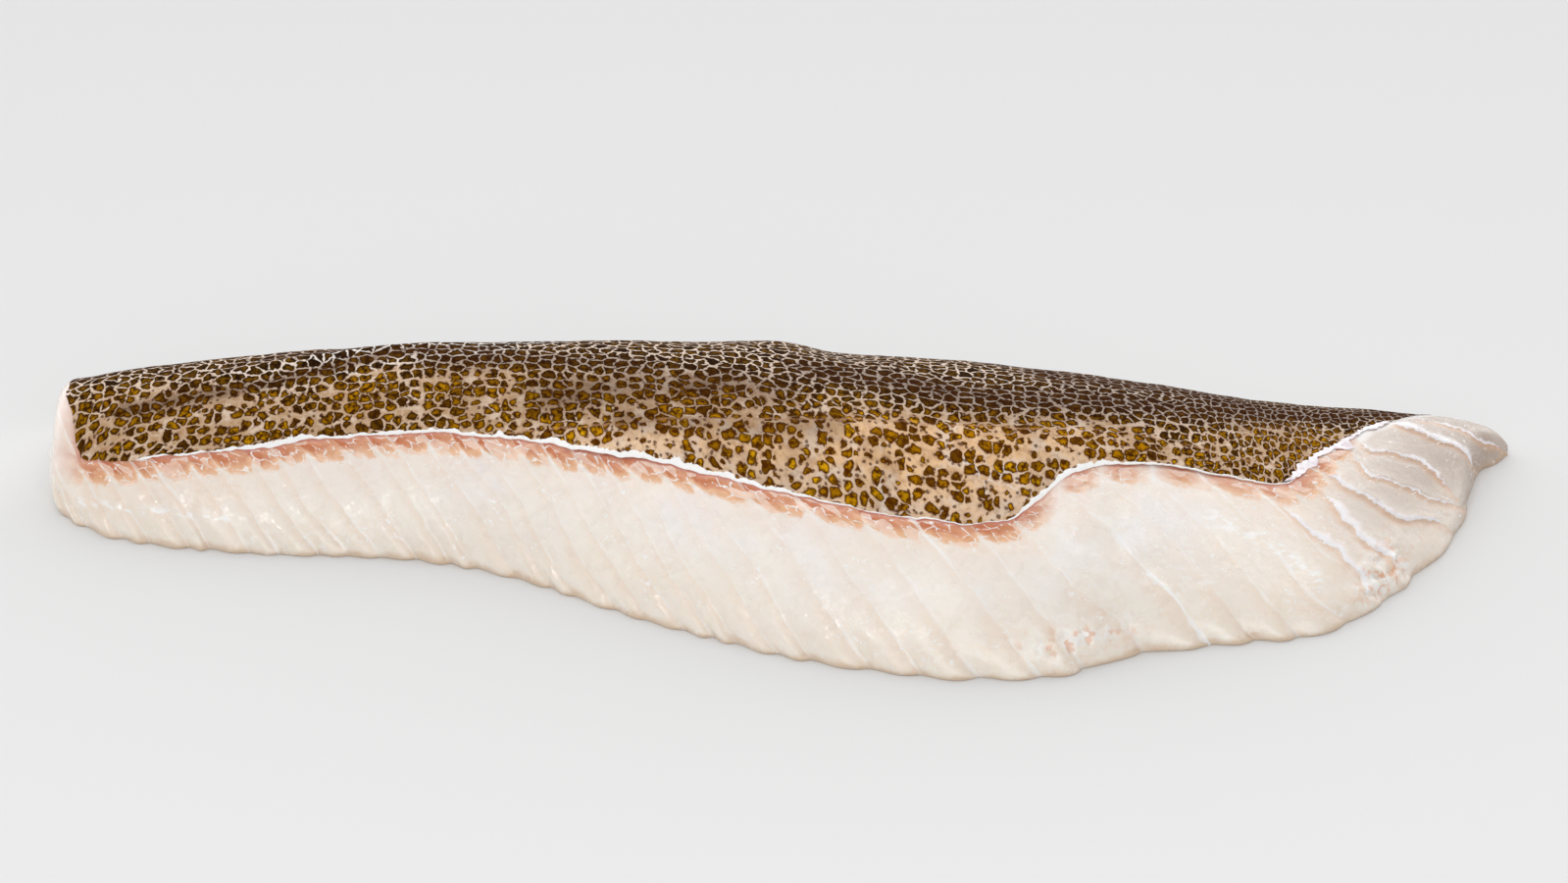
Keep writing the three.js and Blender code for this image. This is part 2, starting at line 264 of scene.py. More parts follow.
MEMBRANE_STATIONS, MEMBRANE_ROWS = 240, 16
MEMBRANE_SMOOTH = math.radians(60)

# Cells of the patterns on the skin and in the band, in mm
SPOT_CELL, DOT_CELL, BAND_CELL = 3.6, 1.7, 3.4

# The stage in metres: the floor just under the fillet, lights as (name, place, width, depth, watts), how
# bright it is round about along a direction, and the camera's aim, tilt in degrees, sensor and lens in mm
FLOOR_SIZE, FLOOR_DROP = 12, 0.00002
LIGHTS = (
    ("softbox", (-0.15, -0.4, 2.3), 2.6, 1.8, 4.0),
    ("sparkle", (-0.2, -0.95, 1.75), 0.8, 0.08, 1.5),
    ("glint_left", (-1.22, -1.74, 2.12), 0.5, 0.25, 6.0),
    ("glint_right", (1.3, 0.23, 2.12), 0.4, 0.25, 1.5),
    ("window", (0.4, -3.8, 2.0), 5.2, 2.4, 84.0),
)
BRIGHT_WAY = (-0.2, 0.98, 0)
BRIGHTNESS = {"From Min": -0.4, "From Max": 0.8, "To Min": 0.15, "To Max": 1.8}
CAMERA_AIM, CAMERA_TILT = (-0.001, 0.058, 0), 28
CAMERA_SENSOR, CAMERA_LENS, CAMERA_FAR = 36, 112.35, 100

# Points closer than this are merged, and edges shorter than this are dissolved, in metres
MERGE_GAP, SHORTEST_EDGE = 1e-6, 1e-7

# How a screen shows colours: steps, offset and power of its curve
SCREEN_STEPS, SCREEN_OFFSET, SCREEN_POWER = 255, 0.055, 2.4


def profile(knots):
    """A smooth curve through knots, with the slope at each knot taken from its neighbours."""
    places, values = np.array(knots, float).T
    last = len(places) - 1
    before = np.maximum(np.arange(last + 1) - 1, 0)
    after = np.minimum(np.arange(last + 1) + 1, last)
    slopes = (values[after] - values[before]) / (places[after] - places[before])

    def curve(at):
        at = np.clip(np.asarray(at, float), places[0], places[-1])
        i = np.clip(np.searchsorted(places, at, side="right") - 1, 0, last - 1)
        span = places[i + 1] - places[i]
        t = (at - places[i]) / span
        near = (1 + 2 * t) * (1 - t) ** 2 * values[i] + t * (1 - t) ** 2 * span * slopes[i]
        far = t * t * (3 - 2 * t) * values[i + 1] + t * t * (t - 1) * span * slopes[i + 1]
        return near + far

    return curve


front_foot, back_foot = profile(FRONT_FOOT), profile(BACK_FOOT)
crest_across, crest_height = profile(CREST_ACROSS), profile(CREST_HEIGHT)
skin_front, skin_back = profile(SKIN_FRONT_EDGE), profile(SKIN_BACK_EDGE)
lateral_line = profile(LATERAL_LINE)


def between(knots, at):
    """Straight lines through knots."""
    places, values = np.array(knots, float).T
    return np.interp(at, places, values)


def smooth_step(low, high, value):
    t = np.clip((value - low) / (high - low), 0, 1)
    return t * t * (3 - 2 * t)


def stretch(value, starts, full, fades, ends):
    """1 over a stretch, falling smoothly to 0 where it starts and ends."""
    return smooth_step(starts, full, value) * smooth_step(ends, fades, value)


def mound(value, middle, spread):
    """A rounded hump of height 1 at the middle."""
    return np.exp(-(((value - middle) / spread) ** 2))


def clouds(points, layers, next_seed=0):
    """Smooth noise at points in millimetres: layers of bumps, each (height, width, seed), added up."""
    flat = np.asarray(points, float).reshape(-1, 3)
    total = np.zeros(len(flat))
    for height, width, seed in layers:
        shift = Vector([(seed + next_seed) * step for step in SEED_STEPS])
        found = np.array([noise.noise(Vector(p) + shift) for p in flat / width])
        total += height * (found / NOISE_PEAK)
    return total.reshape(np.shape(points)[:-1])


def waves_along(run, layers, next_seed=0):
    """Smooth noise along a line, in layers as the clouds have."""
    flat = np.zeros((*np.shape(run), 3))
    flat[..., 0] = run
    return clouds(flat, layers, next_seed)


def facets(points, scale):
    """Distance to the nearest border between cells about as wide as the scale, from 0 at a border."""
    flat = np.asarray(points, float).reshape(-1, 3) / scale
    near = np.array([noise.voronoi(Vector(p))[0][:2] for p in flat])
    return (near[:, 1] - near[:, 0]).reshape(np.shape(points)[:-1])


class Form:
    """The fillet's outer form in millimetres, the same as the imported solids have."""

    def __init__(self, sizes):
        self.length = sizes.length / MM
        self.width = sizes.width / MM
        self.height = sizes.height / MM
        self.foot_round = sizes.foot_round / MM
        self.end_round = sizes.end_round / MM

    def end_inset(self, along):
        """How far the form draws in at the rounded rim of the tail."""
        inward = np.minimum(along * self.length, self.end_round)
        return self.end_round - np.sqrt(self.end_round**2 - (self.end_round - inward) ** 2)

    def point(self, along, side):
        """The form's points at shares of the length and sides."""
        along, side = np.broadcast_arrays(np.asarray(along, float), np.asarray(side, float))
        inset = self.end_inset(along)
        crest_y = crest_across(along) * self.width
        crest_z = crest_height(along) * self.height - inset
        front = side > 0
        foot_y = np.where(front, front_foot(along), back_foot(along)) * self.width
        reach = np.abs(foot_y - crest_y) - inset
        bow = np.where(front, FRONT_BOW, BACK_BOW)
        fullness = np.where(front, FRONT_FULLNESS, BACK_FULLNESS)
        drop = np.maximum(1 - np.abs(side) ** bow, 0) ** fullness
        foot_z = self.foot_round + inset
        x = (along - 0.5) * self.length
        return np.stack([x, crest_y - side * reach, foot_z + (crest_z - foot_z) * drop], -1)

    def normal(self, along, side):
        """The outward directions square to the form."""
        ahead, behind = np.minimum(along + SLOPE_STEP, 1), np.maximum(along - SLOPE_STEP, 0)
        front, back = np.minimum(side + SLOPE_STEP, 1), np.maximum(side - SLOPE_STEP, -1)
        lengthwise = self.point(ahead, side) - self.point(behind, side)
        sideways = self.point(along, front) - self.point(along, back)
        normal = np.cross(sideways, lengthwise)
        return normal / np.linalg.norm(normal, axis=-1, keepdims=True)

    def reach(self, along, side):
        """Distance over the surface from the crest, positive towards the front."""
        along, side = np.broadcast_arrays(np.asarray(along, float), np.asarray(side, float))
        shares = np.sin(np.linspace(0, np.pi / 2, REACH_POINTS))
        path = self.point(along[..., None], side[..., None] * shares)
        return np.sign(side) * np.linalg.norm(np.diff(path, axis=-2), axis=-1).sum(-1)

    def sides(self, along, reach):
        """The sides at distances over the surface from the crest: one row of reach for each place along."""
        fine = np.sin(np.linspace(-np.pi / 2, np.pi / 2, SIDE_POINTS))
        path = self.point(along[:, None], fine)
        run = np.zeros(path.shape[:2])
        run[:, 1:] = np.cumsum(np.linalg.norm(np.diff(path, axis=1), axis=2), 1)
        run -= run[:, [SIDE_POINTS // 2]]
        return np.array([np.interp(at, row, fine) for at, row in zip(reach, run)])

    def placed(self, along, side, lift):
        """Points at a lift off the form."""
        return self.point(along, side) + np.asarray(lift)[..., None] * self.normal(along, side)


def edge_reach(along, form):
    """The skin's front edge as a distance from the crest, with the small waves of a hand cut."""
    waves = waves_along(np.asarray(along, float) * form.length, EDGE_WAVES)
    return form.reach(along, skin_front(along)) + waves * smooth_step(*EDGE_WAVES_END, along)


def skin_start(side):
    """Where the skin starts along the fillet, later towards the front foot."""
    return SKIN_START + SKIN_START_SLANT * np.maximum(side, 0)


class SkinEdge:
    """The outline of the skin on the unrolled form: (run from the tail, distance from the crest)."""

    def __init__(self, form):
        self.form = form
        along = np.linspace(SKIN_START, SKIN_END, FRONT_POINTS)
        front = np.stack([along * form.length, edge_reach(along, form)], -1)
        back = np.stack([along * form.length, form.reach(along, skin_back(along))], -1)
        tail_side = np.linspace(skin_back(SKIN_START), skin_front(SKIN_START), TAIL_POINTS)
        tail_along = skin_start(tail_side)
        tail = np.stack([tail_along * form.length, form.reach(tail_along, tail_side)], -1)
        tip = np.linspace(front[-1], back[-1], END_POINTS)
        self.front = self.tree(front)
        self.all = self.tree(np.concatenate([front, back, tail, tip]))

    def tree(self, places):
        made = kdtree.KDTree(len(places))
        for i, (run, reach) in enumerate(places):
            made.insert((run, reach, 0), i)
        made.balance()
        return made

    def gap(self, tree, along, reach):
        """Distance over the surface from the nearest place of an edge."""
        places = np.stack(np.broadcast_arrays(along * self.form.length, reach), -1)
        found = [tree.find((run, at, 0))[2] for run, at in places.reshape(-1, 2)]
        return np.array(found).reshape(places.shape[:-1])

    def beyond(self, along, side, reach):
        """Distance over the surface from the skin's edge, negative under the skin."""
        gap = self.gap(self.all, along, reach)
        inside = (reach < edge_reach(along, self.form)) & (side > skin_back(along)) & (along < SKIN_END)
        inside &= along > skin_start(side)
        return np.where(inside, -gap, gap)

    def from_front(self, along, reach):
        """Distance over the surface from the front edge."""
        return self.gap(self.front, along, reach)


def select_only(piece):
    bpy.ops.object.select_all(action="DESELECT")
    piece.select_set(True)
    bpy.context.view_layer.objects.active = piece


def shaped_grid(name, points, values=None, maps=None):
    """A grid primitive with its vertices moved to points[i, j], in millimetres, and its seams merged."""
    columns, rows = points.shape[:2]
    bpy.ops.object.select_all(action="DESELECT")
    bpy.ops.mesh.primitive_grid_add(x_subdivisions=columns - 1, y_subdivisions=rows - 1, size=1)
    piece = bpy.context.object
    piece.name = piece.data.name = name
    mesh = piece.data
    mesh.vertices.foreach_set("co", (points.transpose(1, 0, 2) * MM).ravel().astype(np.float32))
    for key, value in (values or {}).items():
        attribute = mesh.attributes.new(key, "FLOAT", "POINT")
        attribute.data.foreach_set("value", np.ascontiguousarray(value.T).ravel().astype(np.float32))
    corner = np.zeros(len(mesh.loops), np.int32)
    mesh.loops.foreach_get("vertex_index", corner)
    for key, value in (maps or {}).items():
        layer = mesh.uv_layers.new(name=key)
        flat = value.transpose(1, 0, 2).reshape(-1, 2)
        layer.uv.foreach_set("vector", flat[corner].ravel().astype(np.float32))
    mesh.uv_layers.remove(mesh.uv_layers["UVMap"])
    bpy.ops.object.mode_set(mode="EDIT")
    bpy.ops.mesh.select_all(action="SELECT")
    bpy.ops.mesh.remove_doubles(threshold=MERGE_GAP)
    bpy.ops.mesh.dissolve_degenerate(threshold=SHORTEST_EDGE)
    bpy.ops.mesh.normals_make_consistent(inside=False)
    bpy.ops.object.mode_set(mode="OBJECT")
    bpy.ops.object.shade_smooth()
    return piece


def give_wall(piece, thickness, group=None):
    """Thickens a sheet inwards, thinner where the vertex group says so."""
    wall = piece.modifiers.new("Wall", "SOLIDIFY")
    wall.thickness = thickness
    wall.offset = -1
    if group is not None:
        wall.vertex_group = group
        wall.thickness_vertex_group = 0.0
    select_only(piece)
    bpy.ops.object.modifier_apply(modifier=wall.name)


def finish_piece(piece, material):
    piece.data.materials.append(material)
    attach(piece, "root")


def flesh_stations(form):
    """Places along the fillet, close together round the tail's rim."""
    rim_share = form.end_round / form.length
    rim = (1 - np.cos(np.linspace(0, np.pi / 2, RIM_STATIONS)))[:-1] * rim_share
    return np.concatenate([rim, np.linspace(rim_share, 1, FLESH_STATIONS)])


def flesh_rows(form, along):
    """Ring points from the front foot to the back foot as distances from the crest, closest in the band."""
    edge = edge_reach(along, form)
    foot, back = form.reach(along, 1.0), form.reach(along, -1.0)
    low = np.minimum(edge + CLOSE_BELOW, foot - FRONT_LEAST)
    high = np.maximum(np.minimum(edge, foot - EDGE_LEAST) - CLOSE_ABOVE, back + BACK_LEAST)
    below = np.linspace(foot, low, ROWS_BELOW, axis=-1, endpoint=False)
    band = np.linspace(low, high, ROWS_IN_BAND, axis=-1, endpoint=False)
    hidden = np.linspace(high, back, ROWS_HIDDEN, axis=-1)
    return np.concatenate([below, band, hidden], 1)


def streaks(form, strokes, run, reach):
    """The strokes' strength on their paths, falling to 0 a half width away from them."""
    found = np.zeros_like(run)
    for knots, width, strength in strokes:
        path = on_path(form, knots, STREAK_POINTS)[0]
        gap = np.min(np.hypot(run[..., None] - path[:, 0], reach[..., None] - path[:, 1]), -1)
        found = np.maximum(found, strength * smooth_step(width, 0, gap))
    return found


def torn_edges(form, run, reach):
    """Distances from the nearest torn edge, positive on its flake, its rim's width and the steps' height."""
    torn = np.full(run.shape, float(TORN_REACH))
    rim, step = np.zeros_like(run), np.zeros_like(run)
    far = run > TORN_FROM * form.length
    places = np.stack([run[far], reach[far]], -1)
    for index, (knots, stand_off, white) in enumerate(TORN_FLAKES):
        path, across, even = on_path(form, knots, TORN_POINTS)
        ragged = waves_along(even, TORN_WAVES, index)
        fade = stretch(even, 0, TORN_FADES[0], even[-1] - TORN_FADES[1], even[-1])
        width = white * fade * (1 + waves_along(even, TORN_RIM_WAVES, index))
        off = places[:, None] - path
        near = np.argmin(np.linalg.norm(off, axis=-1), 1)
        off = np.take_along_axis(off, near[:, None, None], 1)[:, 0]
        gap = np.linalg.norm(off, axis=-1) * np.sign(np.sum(off * across[near], -1)) - ragged[near]
        shelf = smooth_step(-STEP_HALF, STEP_HALF, gap) * np.exp(-np.maximum(gap, 0) / STEP_FALL)
        hollow = HOLLOW_SHARE * smooth_step(-HOLLOW_REACH, 0, gap) * (gap < 0)
        step[far] += stand_off * fade[near] * (shelf - hollow)
        closer = np.abs(gap) < np.abs(torn[far])
        torn[far] = np.where(closer, gap, torn[far])
        rim[far] = np.where(closer, width[near], rim[far])
    return torn, rim, step


def line_whiteness():
    """How white each flake line is."""
    found = np.full(len(FLAKE_LINES), FAINT_LINE)
    for place, strength in WHITE_LINES.items():
        found[np.argmin(np.abs(FLAKE_LINES - place))] = strength
    found[FLAKE_LINES > FAN_LINES_FROM] = FAN_LINE
    return found


def tattered(run, above):
    """How tattered the flesh is, from 0 to 1."""
    found = np.zeros_like(run)
    for at, up, half_run, half_up, strength in TATTERS:
        found = np.maximum(found, strength * mound(run, at, half_run) * mound(above, up, half_up))
    return found


def flake_relief(sizes, along, above, count, fan):
    """Flakes that bulge like shingles, deepest at the floor, with scallops along it."""
    shingle = np.sin(np.pi * (count - np.floor(count)) ** SHINGLE_LEAN)
    low = smooth_step(CREASE_HEIGHT, 0, above)
    depth = (sizes.flake_depth / MM) * FLAKE_CREASES[np.rint(count).astype(int)]
    pillow = depth * (CREASE_LEAST + (1 - CREASE_LEAST) * low**2) * (shingle**PILLOW_ROUND - 1)
    lobes = SCALLOP_LEAST + SCALLOP_GROWTH * smooth_step(*SCALLOP_GROWS, along)
    scallop = lobes * (shingle**SCALLOP_ROUND - 1) * smooth_step(SCALLOP_HEIGHT, 0, above)
    return pillow * (1 - FAN_CALM * fan) + scallop


def line_ridges(count, septum):
    """Low ridges on the whiter flake lines."""
    apart = np.abs(count - np.rint(count))
    return RIDGE_HEIGHT * np.maximum(septum - FAINT_LINE, 0) * mound(apart, 0, RIDGE_HALF)


def band_relief(band, strength, reach, slanted, count, points):
    """Swollen pads of the salmon band, one to a flake, broken into cells."""
    cells = np.zeros_like(band)
    near = (band > BAND_NEAR[0]) & (band < BAND_NEAR[1])
    unrolled = np.stack([slanted, PAD_STRETCH * reach, np.zeros_like(band)], -1)
    cells[near] = facets(unrolled[near] + clouds(points[near], PAD_WANDER)[:, None], PAD_CELL)
    rounds = PAD_ROUND * np.sin(np.pi * (count - np.floor(count))) ** PAD_ROUNDNESS
    return stretch(band, *BAND_SWELL) * strength * (rounds + np.minimum(cells, PAD_TOP) - PAD_SINK)


def flesh_relief(form, sizes, along, side, reach, points):
    """How far each point of the flesh stands off the form, with what the material needs to know there."""
    above = reach[:, :1] - reach
    run = along * form.length
    slanted = run + FLAKE_SLANT * np.maximum(above, 0) + clouds(points, FLAKE_WANDER)
    count = np.interp(slanted, FLAKE_LINES, np.arange(len(FLAKE_LINES)))
    septum = line_whiteness()[np.rint(count).astype(int)]
    fan = smooth_step(*FAN_RUN, slanted)
    tatter = tattered(run, above)
    calm = np.clip((1 - along) * form.length / CALM_TIP, 0, 1)
    flakes = flake_relief(sizes, along, above, count, fan) * calm + line_ridges(count, septum)
    rough = tatter * clouds(points, TATTER_WAVES)
    beyond = SkinEdge(form).beyond(along, side, reach)
    waves = clouds(points, FLESH_WAVES) * smooth_step(*FLESH_WAVES_FROM, beyond) * (1 - FAN_CALM * fan)
    outer = (flakes + rough) * smooth_step(*SETTLED, beyond) + waves - BARE_DROP
    band = beyond / between(BAND_WIDTH, along)
    strength = between(BAND_STRENGTH, along) * smooth_step(*BAND_BACK_END, side)
    pads = band_relief(band, strength, reach, slanted, count, points)
    torn, rim, step = torn_edges(form, run, reach)
    sunk = -(sizes.skin_thickness + sizes.skin_gap) / MM
    bared = smooth_step(*BARED, beyond)
    relief = sunk * (1 - bared) + bared * outer + pads + step * smooth_step(*STEPPED, beyond) * calm
    upper = TONGUE_LEAST + (1 - TONGUE_LEAST) * smooth_step(*TONGUE_UP, side)
    tongue = np.maximum(smooth_step(*TONGUE_RUN, along) * upper, smooth_step(*TONGUE_TIP, along))
    values = {
        "band": band, "pink": strength, "flake": count, "septum": septum, "tatter": tatter, "fan": fan,
        "wet": streaks(form, GLEAM_STREAKS, run, reach), "torn": torn, "torn_rim": rim,
        "torn_near": np.clip(1 - np.abs(torn) / TORN_REACH, 0, 1), "tongue": tongue,
    }
    return relief, values, np.stack([slanted, above], -1)


def flesh_rings(form, sizes):
    """Closed rings of the flesh from the middle of its underside over the back, with values to paint by."""
    along = flesh_stations(form)
    reach = flesh_rows(form, along)
    side = form.sides(along, reach)
    side[:, 0], side[:, -1] = 1, -1
    wide = np.broadcast_to(along[:, None], side.shape)
    relief, values, grain = flesh_relief(form, sizes, wide, side, reach, form.point(wide, side))
    over = form.placed(wide, side, relief)
    floor = form.end_inset(along)
    turn = np.linspace(0, np.pi / 2, FOOT_STEPS)[1:]
    inward = np.minimum(form.foot_round, over[:, -1, 1] - over[:, 0, 1]) / FOOT_STEEPNESS

    def rounded(edge, sign):
        y = edge[:, None, 1] + sign * inward[:, None] * (1 - np.cos(turn))
        z = floor[:, None] + (edge[:, None, 2] - floor[:, None]) * (1 - np.sin(turn))
        return np.stack([np.broadcast_to(edge[:, None, 0], y.shape), y, z], -1)

    front_round, back_round = rounded(over[:, 0], 1), rounded(over[:, -1], -1)
    middle = (front_round[:, -1] + back_round[:, -1]) / 2
    shares = np.linspace(0, 1, UNDER_STEPS)[:-1, None]
    under_front = middle[:, None] + (front_round[:, -1:] - middle[:, None]) * shares
    under_back = middle[:, None] + (back_round[:, -1:] - middle[:, None]) * shares
    rings = np.concatenate([under_front, front_round[:, ::-1], over, back_round, under_back[:, ::-1]], 1)
    near_tip = np.clip(1 - (1 - along) * form.length / TIP_ROUND, 0, 1)[:, None, None]
    shrink = np.sqrt(1 - (TIP_SHRINK * near_tip) ** 2)
    middle = middle[:, None] * [1, 1, 0]
    rings = middle + (rings - middle) * np.where([True, False, False], 1, shrink)
    extra = under_front.shape[1] + front_round.shape[1]
    values = {k: np.pad(v, ((0, 0), (extra, extra)), "edge") for k, v in values.items()}
    return rings, values, np.pad(grain, ((0, 0), (extra, extra), (0, 0)), "edge")


def with_caps(rings, values, grain):
    """The rings with both ends closed by shrinking the end ring to its middle."""
    tail, tip = rings[0], rings[-1]
    tail_middle, tip_middle = tail.mean(0) * [1, 1, TAIL_MIDDLE], tip.mean(0)
    bulge = np.array([-TAIL_BULGE, 0, 0])
    out = np.linspace(0, 1, TAIL_STEPS)[:-1, None, None]
    tail_cap = tail_middle + (tail - tail_middle) * out + bulge * (1 - out * out)
    inwards = np.linspace(0, 1, TIP_STEPS)[-2::-1, None, None]
    tip_cap = tip_middle + (tip - tip_middle) * inwards
    extra = (len(tail_cap), len(tip_cap))
    values = {k: np.pad(v, (extra, (0, 0)), "edge") for k, v in values.items()}
    grain = np.pad(grain, (extra, (0, 0), (0, 0)), "edge")
    return np.concatenate([tail_cap, rings, tip_cap]), values, grain


def skin_relief(form, along, reach, points, front):
    """Folds and dents of the skin and its raised cut edge, with the distance above the lateral line."""
    run = along * form.length
    above = form.reach(along, lateral_line(along)) + waves_along(run, LINE_WAVES) - reach
    grooves = sum(height * mound(above, at, half) for height, at, half in LINE_GROOVES)
    fold_side = FOLD_SIDE - FOLD_SLANT * (along - FOLD_AT)
    fold = FOLD_HEIGHT * mound(reach - form.reach(along, fold_side), 0, FOLD_HALF) * stretch(along, *FOLD_RUN)
    humps = sum(height * mound(run, at, half_run) * mound(reach, off, half)
                for height, at, half_run, off, half in HUMPS)
    lip = LIP_HEIGHT * mound(front, LIP_IN, LIP_HALF)
    waves = clouds(points, SKIN_WAVES) * smooth_step(*SKIN_WAVES_FROM, front)
    return grooves * stretch(along, *LINE_RUN) + fold + humps + lip + waves, above


def spot_rows(reach):
    """Distances from the crest in the spots' own measure, which makes them a little wider on the back."""
    fine = np.linspace(-SPOT_REACH, SPOT_REACH, SPOT_STEPS)
    rate = 1 / (BACK_SPACING + (1 - BACK_SPACING) * smooth_step(*BACK_ENDS, fine))
    spread = np.concatenate([[0], np.cumsum((rate[1:] + rate[:-1]) / 2 * np.diff(fine))])
    return np.interp(reach, fine, spread - np.interp(0, fine, spread))


def skin_grid(form):
    """Points of the skin's outer face from its front edge to its back edge, with values to paint by."""
    along = np.linspace(SKIN_START, SKIN_END, SKIN_STATIONS)
    front = edge_reach(along, form)
    back = np.minimum(form.reach(along, skin_back(along)), front - LEAST_SKIN)
    rest = np.linspace(front - REST_FROM, back, SKIN_ROWS, axis=-1)
    reach = np.concatenate([front[:, None] - EDGE_ROWS, rest], 1)
    side = form.sides(along, reach)
    share = np.linspace(0, 1, len(along))[:, None]
    start = skin_start(side) - SKIN_START + waves_along(reach, TAIL_WAVES) / form.length
    wide = along[:, None] + start * (1 - share) ** TAIL_WAVES_FADE
    run = wide * form.length
    points = form.point(wide, side)
    from_front = SkinEdge(form).from_front(wide, reach)
    relief, above = skin_relief(form, wide, reach, points, from_front)
    glint = streaks(form, SKIN_GLINTS, run, reach)
    low_run = stretch(wide, *BELLY_RUN)
    dense_back = smooth_step(*BACK_ENDS, reach + SOONER * smooth_step(*SOONER_FROM, wide))
    sparse = SIDE_SPARSE * dense_back + BELLY_SPARSE * smooth_step(*BELLY_ABOVE, above) * low_run
    values = {
        "front": from_front, "above": above, "glint": glint, "shade_and_dark_zones": streaks(form, SHADE_AND_DARK_STROKES, run, reach),
        "sparse": sparse + clouds(points, SPARSE_WAVES) - GLINT_SPARSE * glint,
        "rim": between(RIM_WIDTH, wide) * (1 + waves_along(run, RIM_WAVES)),
        "wall": EDGE_WALL + (1 - EDGE_WALL) * smooth_step(*FULL_WALL, from_front),
    }
    finer = FINER_SPOTS * (run - FINER_FROM[0] * form.length) * smooth_step(*FINER_FROM, wide)
    rows = spot_rows(reach) - BELLY_STRETCH * np.maximum(-above, 0) * low_run
    return form.placed(wide, side, relief), values, np.stack([run + finer, rows], -1)


def on_path(form, knots, count):
    """Evenly spaced places along a path, with the direction square to it that leads away from the tail."""
    along, side = np.array(knots, float).T
    places = np.stack([along * form.length, form.reach(along, side)], -1)
    run = np.concatenate([[0], np.cumsum(np.linalg.norm(np.diff(places, axis=0), axis=1))])
    even = np.linspace(0, run[-1], count)
    curves = [profile(np.stack([run, places[:, k]], -1)) for k in (0, 1)]
    path = np.stack([curve(even) for curve in curves], -1)
    ahead = np.gradient(path, axis=0)
    ahead /= np.linalg.norm(ahead, axis=1, keepdims=True)
    return path, np.stack([ahead[:, 1], -ahead[:, 0]], -1), even


def sheet_points(form, places, lift):
    """Points of a thin sheet lying on the form, from places on the unrolled form."""
    along = np.clip(places[..., 0] / form.length, 0, 1)
    side = form.sides(along.ravel(), places[..., 1].reshape(-1, 1)).reshape(along.shape)
    return form.placed(along, side, lift)


def membrane_sheet(form):
    """The torn white membrane over the skin's slanting end."""
    path, across, even = on_path(form, MEMBRANE, MEMBRANE_STATIONS)
    low = HANGING + waves_along(even, HANGING_WAVES)
    for at, spread, fall in HANGING_TATTERS:
        low += fall * mound(even, at, spread)
    high = LYING + waves_along(even, LYING_WAVES)
    fade = stretch(even, 0, MEMBRANE_FADES[0], even[-1] - MEMBRANE_FADES[1], even[-1])
    low, high = -np.maximum(low, HANGING_LEAST) * fade, np.maximum(high, LYING_LEAST) * fade
    away = low[:, None] + (high - low)[:, None] * np.linspace(0, 1, MEMBRANE_ROWS)
    places = path[:, None] + across[:, None] * away[..., None]
    flat = np.concatenate([places, np.zeros((*places.shape[:2], 1))], -1)
    lift = MEMBRANE_LIFT - MEMBRANE_SINK * smooth_step(*MEMBRANE_SINKS, away) + clouds(flat, MEMBRANE_WAVES)
    return shaped_grid("torn_membrane", sheet_points(form, places, lift)[:, ::-1])


